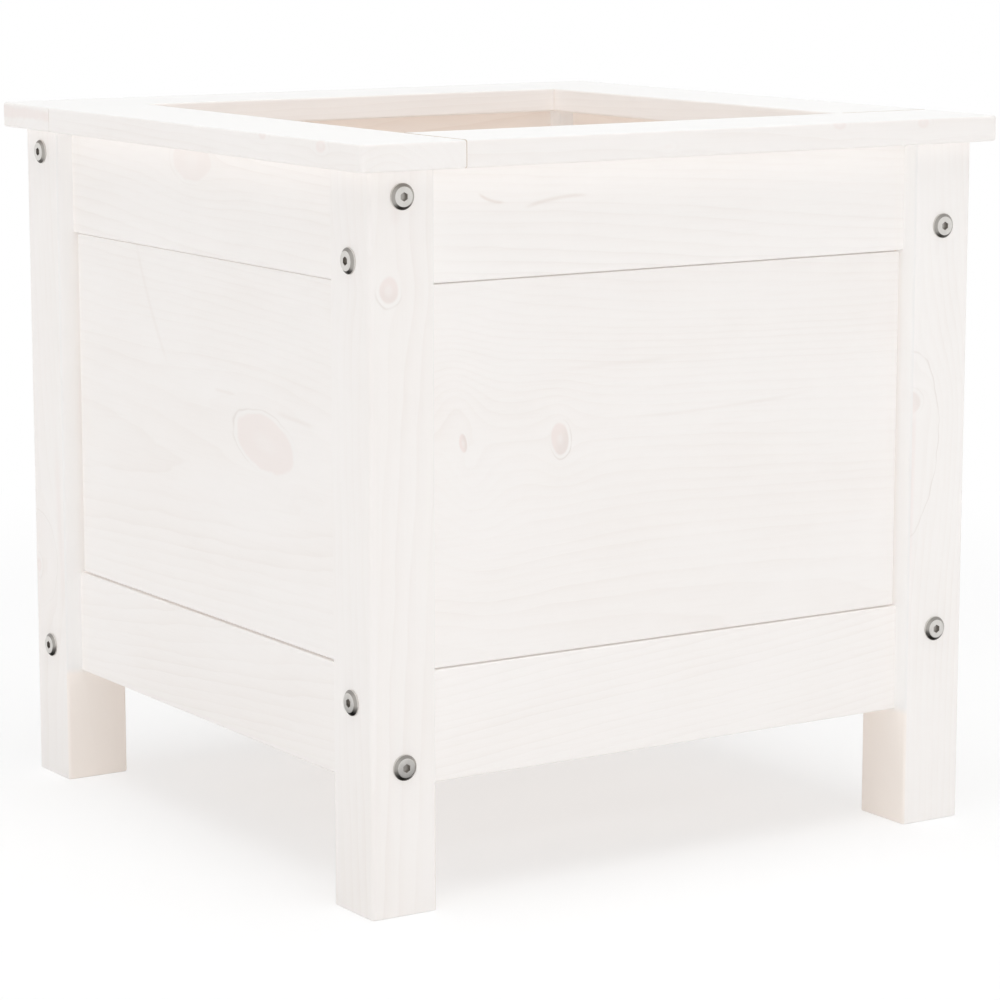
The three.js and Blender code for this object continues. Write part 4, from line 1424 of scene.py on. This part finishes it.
class PLANTER_OT_screws(bpy.types.Operator):
    """Makes the screws of the floor"""

    bl_idname = "planter.screws"
    bl_label = "Screws"

    def execute(self, context):
        steel = context.scene.planter_steel
        head, shank = steel.screw_head / 2, steel.screw / 2
        dome = [
            (0, -CLEAT_SECTION - steel.screw_bite),
            (shank, -CLEAT_SECTION - steel.screw_bite + shank),
            (shank, 0),
            *((head * out, steel.screw_dome * up) for out, up in DOME),
        ]
        flush = SLAT_HIGH.z - SLAT_LOW.z - steel.screw_sink
        flat = countersunk(steel, -steel.screw_bite, flush, 0)
        middles = [slat_middle(index) for index in range(SLATS)]
        gaps = [(a + b) / 2 for a, b in zip(middles, middles[1:])]
        for side in CLEAT_SIDES:
            turn = SIDES.index(side)
            for number, x in enumerate(middles, 1):
                place = Vector((x, -CLEAT_AXIS, SLAT_LOW.z))
                bm, cuts = screw_shape(steel, place, Z, flat, flush)
                turned_piece(f"slat_screw_{side}_{number}", bm, cuts, turn)
            for number, x in enumerate(gaps, 1):
                half = CLEAT_SECTION / 2
                place = Vector((x, -CLEAT_AXIS + half, SLAT_LOW.z - half))
                bm, cuts = screw_shape(steel, place, Y, dome, steel.screw_dome)
                turned_piece(f"cleat_screw_{side}_{number}", bm, cuts, turn)
        return {"FINISHED"}


# ---------------------------------------------------------------- studio


FLOOR_DROP = 0.1 * MM  # keeps the feet clear of the floor
VIEW_FADE = (0.5, 1.1)  # from the middle: where the floor turns white to the camera
REFLECTION_FADE = (0.25, 0.55)  # and in reflections, black nearer it: painted shadow
SENSOR_MM = 36.0


def studio_floor(studio):
    """A plain floor, white to the camera where no shade falls; from below it isn't seen.
    In reflections it is black near the box, a painted shadow, and white further off.
    """
    bm = bmesh.new()
    bmesh.ops.create_grid(bm, x_segments=1, y_segments=1, size=studio.floor_half)
    bmesh.ops.translate(bm, verts=bm.verts, vec=(0, 0, -FLOOR_DROP))
    floor = new_object("studio_floor", mesh_of("studio_floor", bm))
    shader = Shader("studio_floor")
    away = shader.vector("LENGTH", shader.place(), output="Value")
    diffuse = shader.node("ShaderNodeBsdfDiffuse", None, {"Color": opaque(studio.floor)})
    pale = tuple(c * (1 - studio.floor_glow) for c in studio.floor)
    shade = shader.node("ShaderNodeBsdfDiffuse", None, {"Color": opaque(pale)})
    glow = shader.node("ShaderNodeEmission", None, {"Strength": studio.floor_glow})
    white = shader.node("ShaderNodeEmission", None, {"Strength": 1.0})
    reflected_shadow = shader.node("ShaderNodeBsdfDiffuse", None, {"Color": (0.0, 0.0, 0.0, 1.0)})
    near_view = shader.node("ShaderNodeAddShader", None, {0: shade, 1: glow})
    view = shader.blend(away.rise(*VIEW_FADE), near_view, white)
    # Reflections see black near the box: a painted shadow round it
    reflection = shader.blend(away.rise(*REFLECTION_FADE), reflected_shadow, white)
    camera_ray = shader.node("ShaderNodeLightPath", output="Is Camera Ray")
    glossy_ray = shader.node("ShaderNodeLightPath", output="Is Glossy Ray")
    surface = shader.blend(camera_ray, diffuse, view)
    surface = shader.blend(glossy_ray, surface, reflection)
    below = shader.node("ShaderNodeNewGeometry", output="Backfacing")
    clear = shader.node("ShaderNodeBsdfTransparent")
    surface = shader.blend(below * camera_ray, surface, clear)
    shader.node("ShaderNodeOutputMaterial", None, {"Surface": surface})
    floor.data.materials.append(shader.owner)


def studio_sky(studio):
    """A plain sky: white to the camera and in reflections, weaker as light."""
    world = bpy.data.worlds.new("studio_sky")
    bpy.context.scene.world = world
    shader = Shader("studio_sky", world)
    camera_ray = shader.node("ShaderNodeLightPath", output="Is Camera Ray")
    glossy_ray = shader.node("ShaderNodeLightPath", output="Is Glossy Ray")
    either = camera_ray.math("MAXIMUM", camera_ray, glossy_ray)
    strengths = {"Value": either, "To Min": studio.sky, "To Max": 1.0}
    inputs = {
        "Color": (1.0, 1.0, 1.0, 1.0),
        "Strength": shader.node("ShaderNodeMapRange", None, strengths),
    }
    background = shader.node("ShaderNodeBackground", None, inputs)
    shader.node("ShaderNodeOutputWorld", None, {"Surface": background})


def studio_lamp(name, place, power, size):
    """A large soft lamp that looks at the box's middle and isn't seen itself."""
    lamp = bpy.data.lights.new(name, "AREA")
    lamp.energy = power
    lamp.size = size
    made = new_object(name, lamp)
    made.location = place
    made.visible_camera = False
    made.visible_glossy = False
    target = Vector((0, 0, POST_TOP / 2))
    made.rotation_euler = (target - made.location).to_track_quat("-Z", "Y").to_euler()
    return lamp


def fill_ring(studio):
    """Lamps round the box that cast no shadow, so that its inside isn't much darker."""
    for number in range(studio.fill_lamps):
        bearing = FULL_TURN * number / studio.fill_lamps
        way = Vector((math.sin(bearing), math.cos(bearing), 0))
        place = way * studio.fill_distance + Z * studio.fill_height
        lamp = studio_lamp(f"fill_{number + 1}", place, studio.fill, studio.fill_size)
        lamp.use_shadow = False


class PLANTER_OT_studio(bpy.types.Operator):
    """Makes the floor, the plain sky, the lamps and the camera"""

    bl_idname = "planter.studio"
    bl_label = "Studio"

    def execute(self, context):
        studio = context.scene.planter_studio
        studio_floor(studio)
        studio_sky(studio)
        top, size = Vector(studio.top_lamp_place), studio.top_lamp_size
        studio_lamp("top_lamp", top, studio.top_lamp, size)
        above = top + Z * studio.lamp_gap
        studio_lamp("top_fill", above, studio.top_fill, size).use_shadow = False
        fill_ring(studio)
        camera = bpy.data.cameras.new("camera")
        camera.lens = studio.lens
        camera.sensor_width = SENSOR_MM
        made = new_object("camera", camera)
        made.location = studio.camera_place
        made.rotation_euler = (QUARTER_TURN - studio.camera_dip, 0, -studio.camera_turn)
        context.scene.camera = made
        context.scene.view_settings.view_transform = "Standard"
        return {"FINISHED"}


OPERATORS = (
    PLANTER_OT_studio,
    PLANTER_OT_posts,
    PLANTER_OT_rails,
    PLANTER_OT_panels,
    PLANTER_OT_rim,
    PLANTER_OT_floor,
    PLANTER_OT_bolts,
    PLANTER_OT_nuts,
    PLANTER_OT_screws,
)


class PLANTER_PT_sidebar(bpy.types.Panel):
    """Lists the steps that make the planter"""

    bl_label = "Planter box"
    bl_idname = "PLANTER_PT_sidebar"
    bl_space_type = "VIEW_3D"
    bl_region_type = "UI"
    bl_category = "Planter"

    def draw(self, context):
        for operator in OPERATORS:
            self.layout.operator(operator.bl_idname)
        for name, group in GROUPS.items():
            settings = getattr(context.scene, name)
            box = self.layout.box()
            box.label(text=group.__doc__)
            for key in group.__annotations__:
                box.prop(settings, key)


def register():
    for name, group in GROUPS.items():
        bpy.utils.register_class(group)
        setattr(bpy.types.Scene, name, PointerProperty(type=group))
    for made in (*OPERATORS, PLANTER_PT_sidebar):
        bpy.utils.register_class(made)


def unregister():
    for made in reversed((*OPERATORS, PLANTER_PT_sidebar)):
        bpy.utils.unregister_class(made)
    for name, group in reversed(GROUPS.items()):
        delattr(bpy.types.Scene, name)
        bpy.utils.unregister_class(group)


def run(operator):
    """Calls an operator by its name and stops the script if it doesn't finish."""
    category, name = operator.bl_idname.split(".")
    result = getattr(getattr(bpy.ops, category), name)()
    if result != {"FINISHED"}:
        raise RuntimeError(f"{operator.bl_idname} didn't finish")


def main():
    register()
    for operator in OPERATORS:
        run(operator)


if __name__ == "__main__":
    main()
